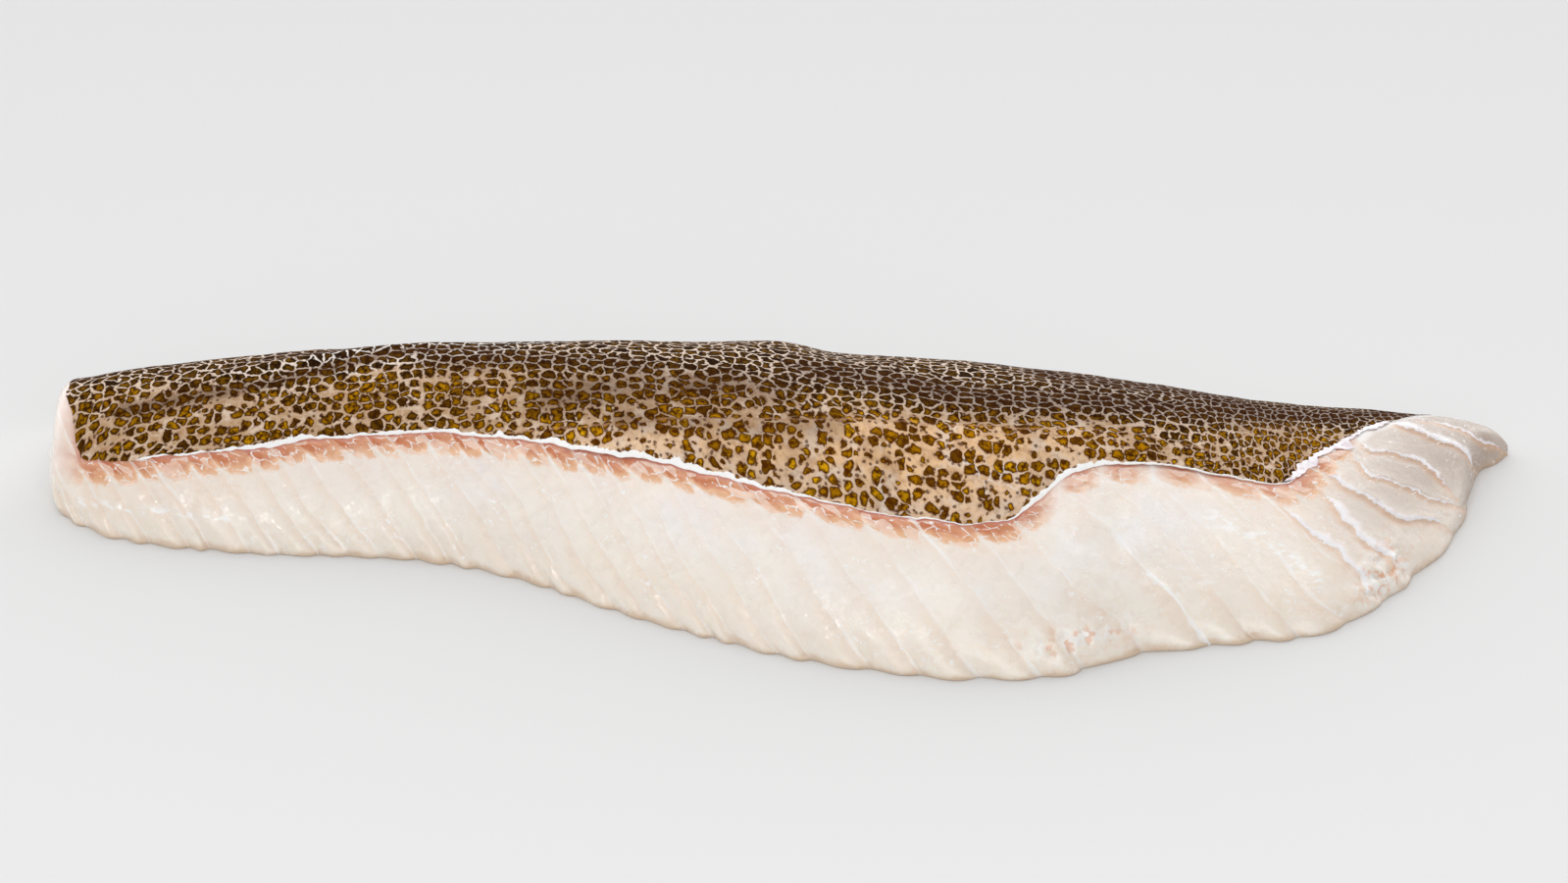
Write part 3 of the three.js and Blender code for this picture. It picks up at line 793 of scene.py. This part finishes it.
class Shader:
    """A material's node tree, built up from sockets, with the colour that is painted so far."""

    def __init__(self, name, colour):
        old = bpy.data.materials.get(name)
        if old:
            bpy.data.materials.remove(old)
        self.material = bpy.data.materials.new(name)
        self.material.use_nodes = True
        self.tree = self.material.node_tree
        self.surface = self.tree.nodes["Principled BSDF"]
        self.colour = colour
        self.values = {}

    def put(self, socket, value):
        if isinstance(value, bpy.types.NodeSocket):
            self.tree.links.new(value, socket)
        elif socket.type == "RGBA" and len(value) == 3:
            socket.default_value = (*value, 1)
        else:
            socket.default_value = value

    def node(self, kind, inputs=None, **settings):
        made = self.tree.nodes.new("ShaderNode" + kind)
        for key, value in settings.items():
            setattr(made, key, value)
        for key, value in (inputs or {}).items():
            self.put(made.inputs[key], value)
        return made

    def value(self, name):
        """The mesh's own value of that name."""
        if name not in self.values:
            self.values[name] = self.node("Attribute", attribute_name=name).outputs["Fac"]
        return self.values[name]

    def map(self, name):
        return self.node("UVMap", uv_map=name).outputs[0]

    def axis(self, vector, name):
        return self.node("SeparateXYZ", {0: vector}).outputs[name]

    def math(self, operation, *inputs):
        return self.node("Math", dict(enumerate(inputs)), operation=operation).outputs[0]

    def times(self, *inputs):
        product = inputs[0]
        for other in inputs[1:]:
            product = self.math("MULTIPLY", product, other)
        return product

    def step(self, value, low, high, to_low=0.0, to_high=1.0):
        """The value mapped smoothly from low..high to to_low..to_high."""
        inputs = {"Value": value, "From Min": low, "From Max": high, "To Min": to_low, "To Max": to_high}
        return self.node("MapRange", inputs, interpolation_type="SMOOTHSTEP").outputs[0]

    def mix(self, share, first, second):
        made = self.node("Mix", data_type="RGBA")
        for index, value in ((0, share), (6, first), (7, second)):
            self.put(made.inputs[index], value)
        return made.outputs[2]

    def paint(self, share, colour):
        """Lays a colour over what is painted so far."""
        self.colour = self.mix(share, self.colour, colour)

    def noise(self, vector, size, detail=2.0):
        """Clouds about size millimetres wide, from about 0.25 to 0.75."""
        inputs = {"Vector": vector, "Scale": 1 / size, "Detail": detail}
        return self.node("TexNoise", inputs).outputs["Fac"]

    def wander(self, vector, size, detail, amount):
        """Clouds about 0, by up to about a quarter of the amount."""
        return self.times(self.math("SUBTRACT", self.noise(vector, size, detail), 0.5), amount)

    def bent(self, vector, size, amount):
        """The vector moved about by clouds, by up to about half the amount."""
        moved = self.node("TexNoise", {"Vector": vector, "Scale": 1 / size, "Detail": 1.0}).outputs["Color"]
        moved = self.node("VectorMath", {0: moved, 1: (0.5, 0.5, 0.5)}, operation="SUBTRACT").outputs[0]
        moved = self.node("VectorMath", {0: moved, "Scale": amount}, operation="SCALE").outputs[0]
        return self.node("VectorMath", {0: vector, 1: moved}, operation="ADD").outputs[0]

    def scaled(self, vector, x, y):
        return self.node("VectorMath", {0: vector, 1: (x, y, 1)}, operation="MULTIPLY").outputs[0]

    def cells(self, vector, size, feature):
        inputs = {"Vector": vector, "Scale": 1 / size, "Randomness": 0.7}
        return self.node("TexVoronoi", inputs, feature=feature, voronoi_dimensions="2D").outputs

    def parts(self, colour):
        return self.node("SeparateColor", {0: colour}).outputs

    def millimetres(self):
        place = self.node("TexCoord").outputs["Object"]
        return self.node("VectorMath", {0: place, "Scale": 1 / MM}, operation="SCALE").outputs[0]

    def bump(self, height, strength, distance, normal=None):
        inputs = {"Height": height, "Strength": strength, "Distance": distance}
        if normal is not None:
            inputs["Normal"] = normal
        return self.node("Bump", inputs).outputs[0]

    def finish(self, **sockets):
        self.put(self.surface.inputs["Base Color"], self.colour)
        for key, value in sockets.items():
            self.put(self.surface.inputs[key.replace("_", " ")], value)
        return self.material


# In the materials, clouds and cells have sizes in millimetres, and a step runs between two values
def flesh_tones(s, colours, place, grain, patch):
    """Cream flesh with cooler clouds, a warm foot, whiter streaks that are partly painted highlight, painted
    shade in the clear flesh's grey on one side of each flake, and a greyish fan and tongue.
    """
    s.paint(s.step(s.noise(place, 16), 0.35, 0.65), colours.flesh_cool)
    s.paint(s.step(s.axis(place, "Z"), 26.0, 4.0, 0.0, 0.75), colours.flesh_warm)
    s.paint(s.times(patch, 0.2), colours.clear_flesh_and_shade)
    # Whiter fibre streaks along the grain, partly the fibres' own white and partly painted highlight of their
    # wet sheen
    streak = s.noise(s.scaled(s.bent(grain, 4.0, 6.0), 1 / 2.6, 1 / 9.0), 1.0, 3.0)
    s.paint(s.step(streak, 0.5, 0.72, 0, 0.2), colours.septum)
    # Painted shade: the clear, greyish tone on the side of each flake that runs into the next line, strongest
    # near the floor
    shade = s.step(s.axis(grain, "Y"), 34.0, 4.0, 0.22, 0.65)
    s.paint(s.times(s.step(s.math("FRACT", s.value("flake")), 0.45, 0.97), shade), colours.clear_flesh_and_shade)
    s.paint(s.times(s.step(s.value("band"), 3.5, 1.0), s.value("pink"), 0.14), colours.band_pale_and_shade)
    s.paint(s.times(s.value("fan"), 0.3), colours.clear_flesh_and_shade)
    s.paint(s.value("tongue"), colours.tongue)


def torn_rims(s, colours, place):
    """White rims on the torn flakes with painted peach shade before them, where the flake above overhangs.
    Gives where the flakes are.
    """
    edge = s.math("ADD", s.value("torn"), s.wander(place, 1.6, 3, 1.6))
    by_edge = s.step(s.value("torn_near"), 0.35, 0.5)
    on = s.times(s.step(edge, -0.1, 0.15), by_edge)
    # Painted shade: a peach tone on the flesh just before each torn edge
    under = s.times(s.step(edge, -3.0, -0.2), s.step(edge, 0.15, -0.1), s.value("fan"), by_edge)
    s.paint(s.times(under, 0.4), colours.band_pale_and_shade)
    width = s.value("torn_rim")
    ragged = s.math("ADD", s.math("DIVIDE", edge, s.math("ADD", width, 0.05)), s.noise(place, 3.0, 3))
    rim = s.times(on, s.step(ragged, 1.9, 0.8), s.step(width, 0.05, 0.3))
    s.paint(s.times(rim, 0.9), colours.membrane)
    return on


def painted_squiggly_highlights(s, colours, place, grain, patch):
    """Painted highlights: thin white squiggly lines in the clear patches. Gives where they are."""
    contour = s.math("ABSOLUTE", s.math("SUBTRACT", s.noise(s.bent(grain, 2.0, 3.0), 2.4, 1.0), 0.5))
    squiggly_highlight = s.times(s.step(contour, 0.035, 0.01), s.step(s.noise(place, 2.0), 0.5, 0.58), patch)
    s.paint(s.times(squiggly_highlight, 0.8), colours.septum)
    return squiggly_highlight


def flesh_edges(s, colours, place):
    """A tan rim along the floor, partly the flesh's own tan and partly painted shade where it curves under,
    and white flesh by the skin where the band is missing.
    """
    height = s.math("ADD", s.axis(place, "Z"), s.times(s.noise(place, 6), 4.0))
    # Partly painted shade: the tan rim darkens the foot where the flesh curves under
    s.paint(s.step(height, 4.6, 2.4, 0, 0.6), colours.rim)
    bare = s.times(s.step(s.value("band"), 1.3, 0.5), s.step(s.value("pink"), 0.6, 0.1))
    s.paint(s.times(bare, 0.5), colours.septum)


def salmon_band(s, colours, place, grain, apart):
    """The band of salmon jelly under the skin's edge, with a dark line under the edge that is partly painted
    shadow, and painted highlights on its cells and along their borders. Gives where it is and where its cells
    stand out.
    """
    band, pink = s.value("band"), s.value("pink")
    pad = s.math("ADD", band, s.wander(place, 2.6, 3, 0.5))
    pad = s.math("DIVIDE", pad, s.step(apart, 0.0, 0.25, 0.65, 1.08))
    slope = s.step(s.math("FRACT", s.value("flake")), 0.1, 0.95, 1.0, 0.55)
    s.paint(s.times(s.step(pad, 1.1, 0.85), pink, 0.9), colours.band_pale_and_shade)
    s.paint(s.times(s.step(pad, 0.9, 0.35), pink, slope), colours.band)
    # A dark line right under the skin's edge: partly the red muscle there, partly painted shadow of the edge
    s.paint(s.times(s.step(pad, 0.25, 0.02), pink, 0.6), colours.band_red_and_shadow)
    jelly = s.times(s.step(band, 0.06, 0.16), s.step(pad, 1.1, 0.9), pink)
    bent = s.scaled(s.bent(grain, 5.0, 5.0), 1.0, 1.3)
    # Painted highlight: some of the jelly's cells are made lighter
    shine = s.step(s.parts(s.cells(bent, BAND_CELL, "F1")["Color"])[0], 0.6, 0.7, 0, 0.6)
    s.paint(s.times(shine, jelly), colours.band_highlight)
    # Painted highlight: white lines along the cells' borders, in the white of the lines between flakes
    cell_edge_highlight = s.step(s.cells(bent, BAND_CELL, "DISTANCE_TO_EDGE")["Distance"], 0.08, 0.03)
    fold = s.times(cell_edge_highlight, jelly, s.step(s.noise(place, 2.2), 0.46, 0.54))
    s.paint(s.times(fold, 0.8), colours.septum)
    return jelly, s.math("ADD", fold, shine)


def flake_lines(s, colours, place, apart, jelly):
    """White lines between the flakes, in places fainter or thinner."""
    septum = s.math("MAXIMUM", s.value("septum"), s.times(jelly, 0.4))
    broad = s.step(septum, 0.7, 1.0, 1.0, 1.3)
    width = s.times(broad, s.step(s.noise(place, 7), 0.35, 0.65, 0.025, 0.1))
    line = s.step(s.math("DIVIDE", apart, width), 1.0, 0.3)
    s.paint(s.times(line, septum, s.step(s.noise(place, 12), 0.4, 0.62, 0.1, 1.0)), colours.septum)


def wet_lights(s, colours, place, grain):
    """Painted white highlights on the wet streaks, and white shreds with orange specks where the flesh is
    tattered.
    """
    # Painted highlight: white laid on the wet streaks where the clouds allow
    gleam = s.times(s.value("wet"), s.step(s.noise(s.scaled(grain, 1.0, 2.2), 4.0, 3), 0.48, 0.58))
    s.paint(s.times(gleam, 0.85), colours.septum)
    tatter = s.value("tatter")
    s.paint(s.times(tatter, s.step(s.noise(place, 5, 3), 0.42, 0.6), 0.75), colours.septum)
    s.paint(s.times(tatter, s.step(s.noise(place, 3.2, 3), 0.54, 0.64), 0.8), colours.speck)


def flesh_material(colours):
    s = Shader("Wet flesh", colours.flesh)
    place, grain = s.millimetres(), s.map("grain")
    patch = s.step(s.noise(place, 11, 2), 0.46, 0.6)
    apart = s.math("PINGPONG", s.value("flake"), 0.5)
    flesh_tones(s, colours, place, grain, patch)
    on_flake = torn_rims(s, colours, place)
    squiggly_highlight = painted_squiggly_highlights(s, colours, place, grain, patch)
    flesh_edges(s, colours, place)
    jelly, raised = salmon_band(s, colours, place, grain, apart)
    flake_lines(s, colours, place, apart, jelly)
    wet_lights(s, colours, place, grain)
    normal = s.bump(s.noise(place, 2.4, 3), 0.3, 0.5 * MM)
    normal = s.bump(s.times(on_flake, s.step(s.value("torn"), 3.5, 0.0)), 0.4, 0.4 * MM, normal)
    normal = s.bump(s.math("ADD", s.times(squiggly_highlight, 0.5), raised), 0.4, 0.35 * MM, normal)
    ripple = s.bump(s.noise(s.scaled(s.bent(grain, 3.0, 4.0), 1.0, 0.6), 1.6, 2), 0.5, 0.5 * MM, normal)
    wet_band = s.step(s.value("band"), 1.2, 0.8, 1.0, 0.55)
    return s.finish(
        Roughness=s.times(s.step(s.noise(place, 4), 0.3, 0.7, 0.22, 0.42), wet_band), Normal=normal,
        Subsurface_Weight=0.3, Subsurface_Radius=(1.0, 0.8, 0.65), Subsurface_Scale=0.0035,
        Coat_Weight=s.step(s.value("tongue"), 0.0, 1.0, 0.5, 0.15), Coat_Roughness=0.06, Coat_Normal=ripple,
    )


def membrane_material(colours):
    s = Shader("Torn membrane", colours.membrane)
    place = s.millimetres()
    s.paint(s.step(s.noise(place, 3, 3), 0.4, 0.65), colours.membrane_tint)
    normal = s.bump(s.noise(place, 1.5, 3), 0.4, 0.5 * MM)
    return s.finish(Roughness=0.25, Normal=normal, Coat_Weight=0.3, Coat_Roughness=0.08)


def spot_shapes(s, pattern, low):
    """Spots in bent cells: how far inside one a place is, how far from a border, and each cell's chances."""
    bent = s.bent(s.bent(s.bent(pattern, 4.2, 3.2), 1.8, 1.1), 0.7, 0.35)
    near = s.cells(bent, SPOT_CELL, "F1")
    border = s.cells(bent, SPOT_CELL, "DISTANCE_TO_EDGE")["Distance"]
    chance = s.parts(near["Color"])
    sparse = s.value("sparse")
    radius = s.math("SUBTRACT", s.step(sparse, 0.05, 0.4, 0.8, 0.44), s.step(sparse, 0.45, 0.8, 0.0, 0.09))
    uneven = s.times(s.math("SUBTRACT", chance[0], 0.5), s.step(sparse, 0.1, 0.6, 0.1, 0.45))
    radius = s.math("MULTIPLY_ADD", low, -0.06, s.math("ADD", uneven, radius))
    clear = s.math("SUBTRACT", border, 0.1)
    inside = s.math("SMOOTH_MIN", s.math("SUBTRACT", radius, near["Distance"]), clear, 0.16)
    inside = s.math("ADD", inside, s.wander(pattern, 1.5, 2, 0.4))
    inside = s.math("ADD", inside, s.step(sparse, 0.2, 0.6, 0.015, 0.05))
    return inside, border, chance


def skin_ground(s, colours, pattern, low, inside, border):
    """Skin between the spots: pinkish, pale and brown patches, pale lines between cells, and painted glint
    highlights on the lines in bright streaks.
    """
    sparse = s.value("sparse")
    s.paint(s.step(sparse, 0.1, 0.35), colours.ground_side)
    s.paint(s.step(sparse, 0.5, 0.9), colours.ground_belly)
    s.paint(s.step(s.noise(pattern, 4, 3), 0.44, 0.66, 0, 0.6), colours.ground_pink)
    s.paint(s.step(s.noise(pattern, 7, 3), 0.5, 0.64, 0, 0.75), colours.ground_pale)
    s.paint(s.times(low, 0.4), colours.ground_pale)
    s.paint(s.step(s.noise(pattern, 1.3, 2), 0.48, 0.7, 0, 0.4), colours.ground_shade)
    s.paint(s.step(inside, -0.14, 0.0, 0, 0.45), colours.ground_shade)
    s.paint(s.times(s.step(border, 0.12, 0.03), s.step(sparse, 0.5, 0.2, 0.15, 0.75)), colours.ground_pale)
    # Painted highlight: the lines between cells turn white along the glint streaks
    s.paint(s.times(s.value("glint"), s.step(border, 0.1, 0.02, 0.1, 0.75)), colours.cut_edge_and_glint_white)


def skin_spots(s, colours, pattern, inside, chance):
    """Small dots, then the spots with their dark rims and golden middles."""
    sparse = s.value("sparse")
    dots = s.cells(s.bent(pattern, 3.0, 1.5), DOT_CELL, "F1")
    dot = s.times(s.step(dots["Distance"], 0.34, 0.22), s.step(s.parts(dots["Color"])[0], 0.66, 0.68))
    s.paint(s.times(dot, 0.8), colours.spot_rim)
    mottled = s.step(s.noise(pattern, 1.5, 2), 0.36, 0.64)
    gold = s.times(s.step(inside, 0.0, 0.26), mottled, s.step(chance[1], 0.0, 0.7, 0.6, 1.0))
    gold = s.times(gold, s.step(sparse, 0.05, 0.6, 0.25, 1.0), s.step(chance[2], 0.05, 0.25, 0.25, 1.0))
    bright = s.times(s.step(chance[1], 0.5, 0.9), s.step(sparse, 0.3, 0.7))
    middle = s.mix(bright, colours.spot_gold, colours.spot_bright)
    outside = s.mix(s.step(sparse, 0.1, 0.9), colours.spot_dark, colours.spot_rim)
    s.paint(s.step(inside, -0.04, 0.04), s.mix(gold, outside, middle))


def skin_marks(s, colours, pattern):
    """The pinkish lateral line, a brown veil that is partly darker skin and partly painted shade below the
    bright ridge's fold, and the white cut edge.
    """
    off = s.math("ADD", s.math("ADD", s.value("above"), 0.6), s.wander(pattern, 3.0, 2, 2.4))
    line = s.step(s.math("ABSOLUTE", off), 0.6, 0.15, 0, 0.7)
    broken = s.times(s.step(s.noise(pattern, 9), 0.4, 0.55), s.step(s.value("sparse"), 0.2, 0.4))
    s.paint(s.times(line, broken), colours.ground_pink)
    # Partly painted shade: the strokes darken the skin below the bright ridge's fold and in darker zones, and
    # clouds add random darker patches
    veil = s.math("ADD", s.step(s.noise(pattern, 22, 3), 0.5, 0.75, 0, 0.35), s.times(s.value("shade_and_dark_zones"), 0.9))
    s.paint(veil, s.mix(0.75, s.colour, colours.brown_veil_and_shade))
    front = s.math("ADD", s.math("DIVIDE", s.value("front"), s.value("rim")), s.wander(pattern, 2.6, 4, 2.4))
    s.paint(s.step(front, 1.05, 0.9), colours.cut_edge_and_glint_white)


def skin_material(colours):
    s = Shader("Spotted skin", colours.ground_back)
    pattern = s.map("pattern")
    low = s.times(s.step(s.value("front"), 14.0, 3.0), s.step(s.value("sparse"), 0.5, 0.8))
    inside, border, chance = spot_shapes(s, pattern, low)
    skin_ground(s, colours, pattern, low, inside, border)
    skin_spots(s, colours, pattern, inside, chance)
    skin_marks(s, colours, pattern)
    net = s.step(inside, 0.06, -0.04)
    normal = s.bump(s.noise(pattern, 1.2, 3), 0.25, 0.25 * MM)
    normal = s.bump(net, 0.5, 0.25 * MM, normal)
    coat = s.times(net, s.math("MULTIPLY_ADD", s.value("glint"), 0.7, 0.3))
    return s.finish(
        Roughness=0.9, Normal=normal, Specular_IOR_Level=0.02, Coat_Weight=coat, Coat_Roughness=0.2,
    )


def floor_material(colours):
    return Shader("Pale floor", colours.floor).finish(Roughness=0.9, Specular_IOR_Level=0.0)


def add_floor(colours):
    bpy.ops.object.select_all(action="DESELECT")
    bpy.ops.mesh.primitive_plane_add(size=FLOOR_SIZE, location=(0, 0, -FLOOR_DROP))
    floor = bpy.context.object
    floor.name = "floor"
    floor.data.materials.append(floor_material(colours))


def add_lights():
    for name, place, across, deep, watts in LIGHTS:
        bpy.ops.object.light_add(type="AREA", location=place)
        lamp = bpy.context.object
        lamp.name = lamp.data.name = name
        lamp.data.shape = "RECTANGLE"
        lamp.data.size, lamp.data.size_y = across, deep
        lamp.data.energy = watts
        lamp.rotation_euler = (-Vector(place)).to_track_quat("-Z", "Y").to_euler()


def light_surroundings(scene):
    """White surroundings that get brighter along a direction."""
    scene.world = bpy.data.worlds.new("Studio")
    scene.world.use_nodes = True
    nodes, links = scene.world.node_tree.nodes, scene.world.node_tree.links
    way = nodes.new("ShaderNodeVectorMath")
    way.operation = "DOT_PRODUCT"
    way.inputs[1].default_value = BRIGHT_WAY
    links.new(nodes.new("ShaderNodeTexCoord").outputs["Generated"], way.inputs[0])
    fade = nodes.new("ShaderNodeMapRange")
    fade.interpolation_type = "SMOOTHSTEP"
    links.new(way.outputs["Value"], fade.inputs["Value"])
    for key, value in BRIGHTNESS.items():
        fade.inputs[key].default_value = value
    links.new(fade.outputs[0], nodes["Background"].inputs["Strength"])
    nodes["Background"].inputs["Color"].default_value = (1, 1, 1, 1)


def add_camera(scene, distance):
    tilt = math.radians(CAMERA_TILT)
    back = Vector((0, -math.cos(tilt), math.sin(tilt)))
    bpy.ops.object.camera_add(location=Vector(CAMERA_AIM) + back * distance)
    camera = bpy.context.object
    camera.rotation_euler = (-back).to_track_quat("-Z", "Y").to_euler()
    camera.data.sensor_width = CAMERA_SENSOR
    camera.data.lens = CAMERA_LENS
    camera.data.clip_end = CAMERA_FAR
    scene.camera = camera
    scene.view_settings.view_transform = "Standard"


def length(default, name, description):
    return FloatProperty(name=name, description=description, default=default, min=0.0, unit="LENGTH")


def colour(red, green, blue, name, description):
    """A colour property given in the 0 to 255 steps that a screen shows."""
    shares = (np.array((red, green, blue)) / SCREEN_STEPS + SCREEN_OFFSET) / (1 + SCREEN_OFFSET)
    default = tuple(float(c) for c in shares**SCREEN_POWER)
    return FloatVectorProperty(name=name, description=description, default=default, size=3, min=0.0, max=1.0,
                               subtype="COLOR")


class CodFilletSizes(bpy.types.PropertyGroup):
    """Sizes of the fillet and its parts."""

    length: length(0.41, "Length", "From the tail cut to the shoulder tip")
    width: length(0.152, "Width", "Across the fillet on the floor")
    height: length(0.046, "Height", "From the floor to the highest point of the back")
    foot_round: length(0.0012, "Foot round", "Height of the edge along the floor")
    end_round: length(0.005, "End round", "Radius round the rim of the tail cut")
    skin_thickness: length(0.0016, "Skin thickness", "Thickness of the skin with the fat under it")
    skin_gap: length(0.00035, "Skin gap", "Gap between the skin and the flesh under it")
    flake_depth: length(0.0012, "Flake depth", "Depth of the creases between flakes at the floor")
    membrane_thickness: length(0.00035, "Membrane thickness", "Thickness of the torn membrane")
    camera_distance: length(1.4, "Camera distance", "From the camera to the point it looks at")


class CodFilletColours(bpy.types.PropertyGroup):
    """Colours of the fillet's finishes."""

    flesh: colour(247, 240, 232, "Flesh", "Main colour of the flesh")
    flesh_cool: colour(245, 240, 237, "Cool flesh", "Whiter clouds in the flesh")
    flesh_warm: colour(245, 233, 217, "Warm flesh", "Cream tone low on the flesh")
    # Also the painted shade on one side of each flake
    clear_flesh_and_shade: colour(238, 220, 203, "Clear flesh", "Translucent greyish flesh")
    tongue: colour(188, 171, 158, "Tongue", "Greyish flesh of the thin tongue")
    # Partly painted shade where the flesh curves under at the floor
    rim: colour(206, 170, 132, "Rim", "Tan tone where the flesh meets the floor")
    band: colour(200, 112, 64, "Band", "Salmon band next to the skin")
    # Also the painted peach shade before the torn flakes' edges
    band_pale_and_shade: colour(236, 181, 134, "Pale band", "Peach tone where the band fades into the flesh")
    # Partly painted shadow under the skin's edge
    band_red_and_shadow: colour(194, 116, 108, "Dark band", "Line right under the skin's edge")
    # Painted highlight on the band's jelly cells
    band_highlight: colour(250, 226, 210, "Light band", "Folds in the jelly of the band")
    # Also the white of painted highlights: squiggles, wet streaks, fibre streaks and the band's cell borders
    septum: colour(254, 252, 251, "Septum", "White lines between flakes")
    speck: colour(226, 164, 118, "Speck", "Orange specks in torn flesh")
    membrane: colour(248, 244, 248, "Membrane", "Torn white membrane")
    membrane_tint: colour(226, 212, 220, "Membrane tint", "Lavender tint in the membrane")
    spot_dark: colour(32, 16, 3, "Dark spot", "Dark cells on the back")
    spot_rim: colour(80, 40, 0, "Spot rim", "Rims of the spots on the side")
    # Partly painted shade below the ridge's fold
    brown_veil_and_shade: colour(58, 26, 0, "Spot shade", "Brown veil over the darker parts of the skin")
    spot_bright: colour(214, 156, 12, "Bright spot", "Middles of the brightest spots")
    spot_gold: colour(190, 130, 0, "Gold spot", "Middles of the skin's spots")
    ground_back: colour(216, 200, 188, "Back ground", "Skin between the spots on the back")
    ground_side: colour(188, 155, 120, "Side ground", "Skin between the spots on the side")
    ground_belly: colour(234, 191, 144, "Belly ground", "Skin between the spots low on the side")
    ground_pink: colour(182, 140, 106, "Pink ground", "Tone of patches and of the lateral line")
    ground_shade: colour(150, 106, 62, "Shaded ground", "Brownish tone between the spots")
    ground_pale: colour(224, 201, 180, "Pale ground", "Pale patches and lines between the spots")
    # Also the white of the painted glints on the skin's network
    cut_edge_and_glint_white: colour(250, 249, 248, "Cut edge", "White cut edge of the skin")
    floor: colour(225, 225, 225, "Floor", "Pale floor under the fillet")


class COD_OT_flesh(bpy.types.Operator):
    """Models the flesh with its flakes, its salmon band and its torn places"""

    bl_idname = "cod.flesh"
    bl_label = "Flesh"

    def execute(self, context):
        sizes, colours = context.scene.cod_sizes, context.scene.cod_colours
        rings, values, grain = with_caps(*flesh_rings(Form(sizes), sizes))
        piece = shaped_grid("cod_flesh", rings, values, {"grain": grain})
        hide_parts("flesh")
        finish_piece(piece, flesh_material(colours))
        return {"FINISHED"}


class COD_OT_skin(bpy.types.Operator):
    """Models the spotted skin as a thin shell with a white cut edge"""

    bl_idname = "cod.skin"
    bl_label = "Skin"

    def execute(self, context):
        sizes, colours = context.scene.cod_sizes, context.scene.cod_colours
        points, values, pattern = skin_grid(Form(sizes))
        piece = shaped_grid("cod_skin", points, values, {"pattern": pattern})
        group = piece.vertex_groups.new(name="wall")
        for i, share in enumerate(piece.data.attributes["wall"].data):
            group.add([i], share.value, "REPLACE")
        give_wall(piece, sizes.skin_thickness, group.name)
        bpy.ops.object.shade_smooth_by_angle(angle=SKIN_SMOOTH)
        finish_piece(piece, skin_material(colours))
        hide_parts("skin")
        return {"FINISHED"}


class COD_OT_membrane(bpy.types.Operator):
    """Models the torn membrane along the skin's slanting end"""

    bl_idname = "cod.membrane"
    bl_label = "Torn membrane"

    def execute(self, context):
        sizes, colours = context.scene.cod_sizes, context.scene.cod_colours
        piece = membrane_sheet(Form(sizes))
        give_wall(piece, sizes.membrane_thickness)
        bpy.ops.object.shade_smooth_by_angle(angle=MEMBRANE_SMOOTH)
        finish_piece(piece, membrane_material(colours))
        return {"FINISHED"}


class COD_OT_stage(bpy.types.Operator):
    """Sets the pale floor, the soft lights and the camera"""

    bl_idname = "cod.stage"
    bl_label = "Stage"

    def execute(self, context):
        scene = context.scene
        add_floor(scene.cod_colours)
        add_lights()
        light_surroundings(scene)
        add_camera(scene, scene.cod_sizes.camera_distance)
        return {"FINISHED"}


class COD_PT_panel(bpy.types.Panel):
    """The fillet's pieces, sizes and colours"""

    bl_idname = "COD_PT_panel"
    bl_label = "Cod Fillet"
    bl_space_type = "VIEW_3D"
    bl_region_type = "UI"
    bl_category = "Cod Fillet"

    def draw(self, context):
        for operator in OPERATORS:
            self.layout.operator(operator.bl_idname)
        for group in (context.scene.cod_sizes, context.scene.cod_colours):
            for key in group.__annotations__:
                self.layout.prop(group, key)


OPERATORS = (COD_OT_flesh, COD_OT_skin, COD_OT_membrane, COD_OT_stage)
CLASSES = (CodFilletSizes, CodFilletColours, *OPERATORS, COD_PT_panel)


def register():
    for made in CLASSES:
        bpy.utils.register_class(made)
    bpy.types.Scene.cod_sizes = PointerProperty(type=CodFilletSizes)
    bpy.types.Scene.cod_colours = PointerProperty(type=CodFilletColours)


def unregister():
    del bpy.types.Scene.cod_colours
    del bpy.types.Scene.cod_sizes
    for made in reversed(CLASSES):
        bpy.utils.unregister_class(made)


def main():
    register()
    bpy.ops.cod.flesh()
    bpy.ops.cod.skin()
    bpy.ops.cod.membrane()
    bpy.ops.cod.stage()


if __name__ == "__main__":
    main()
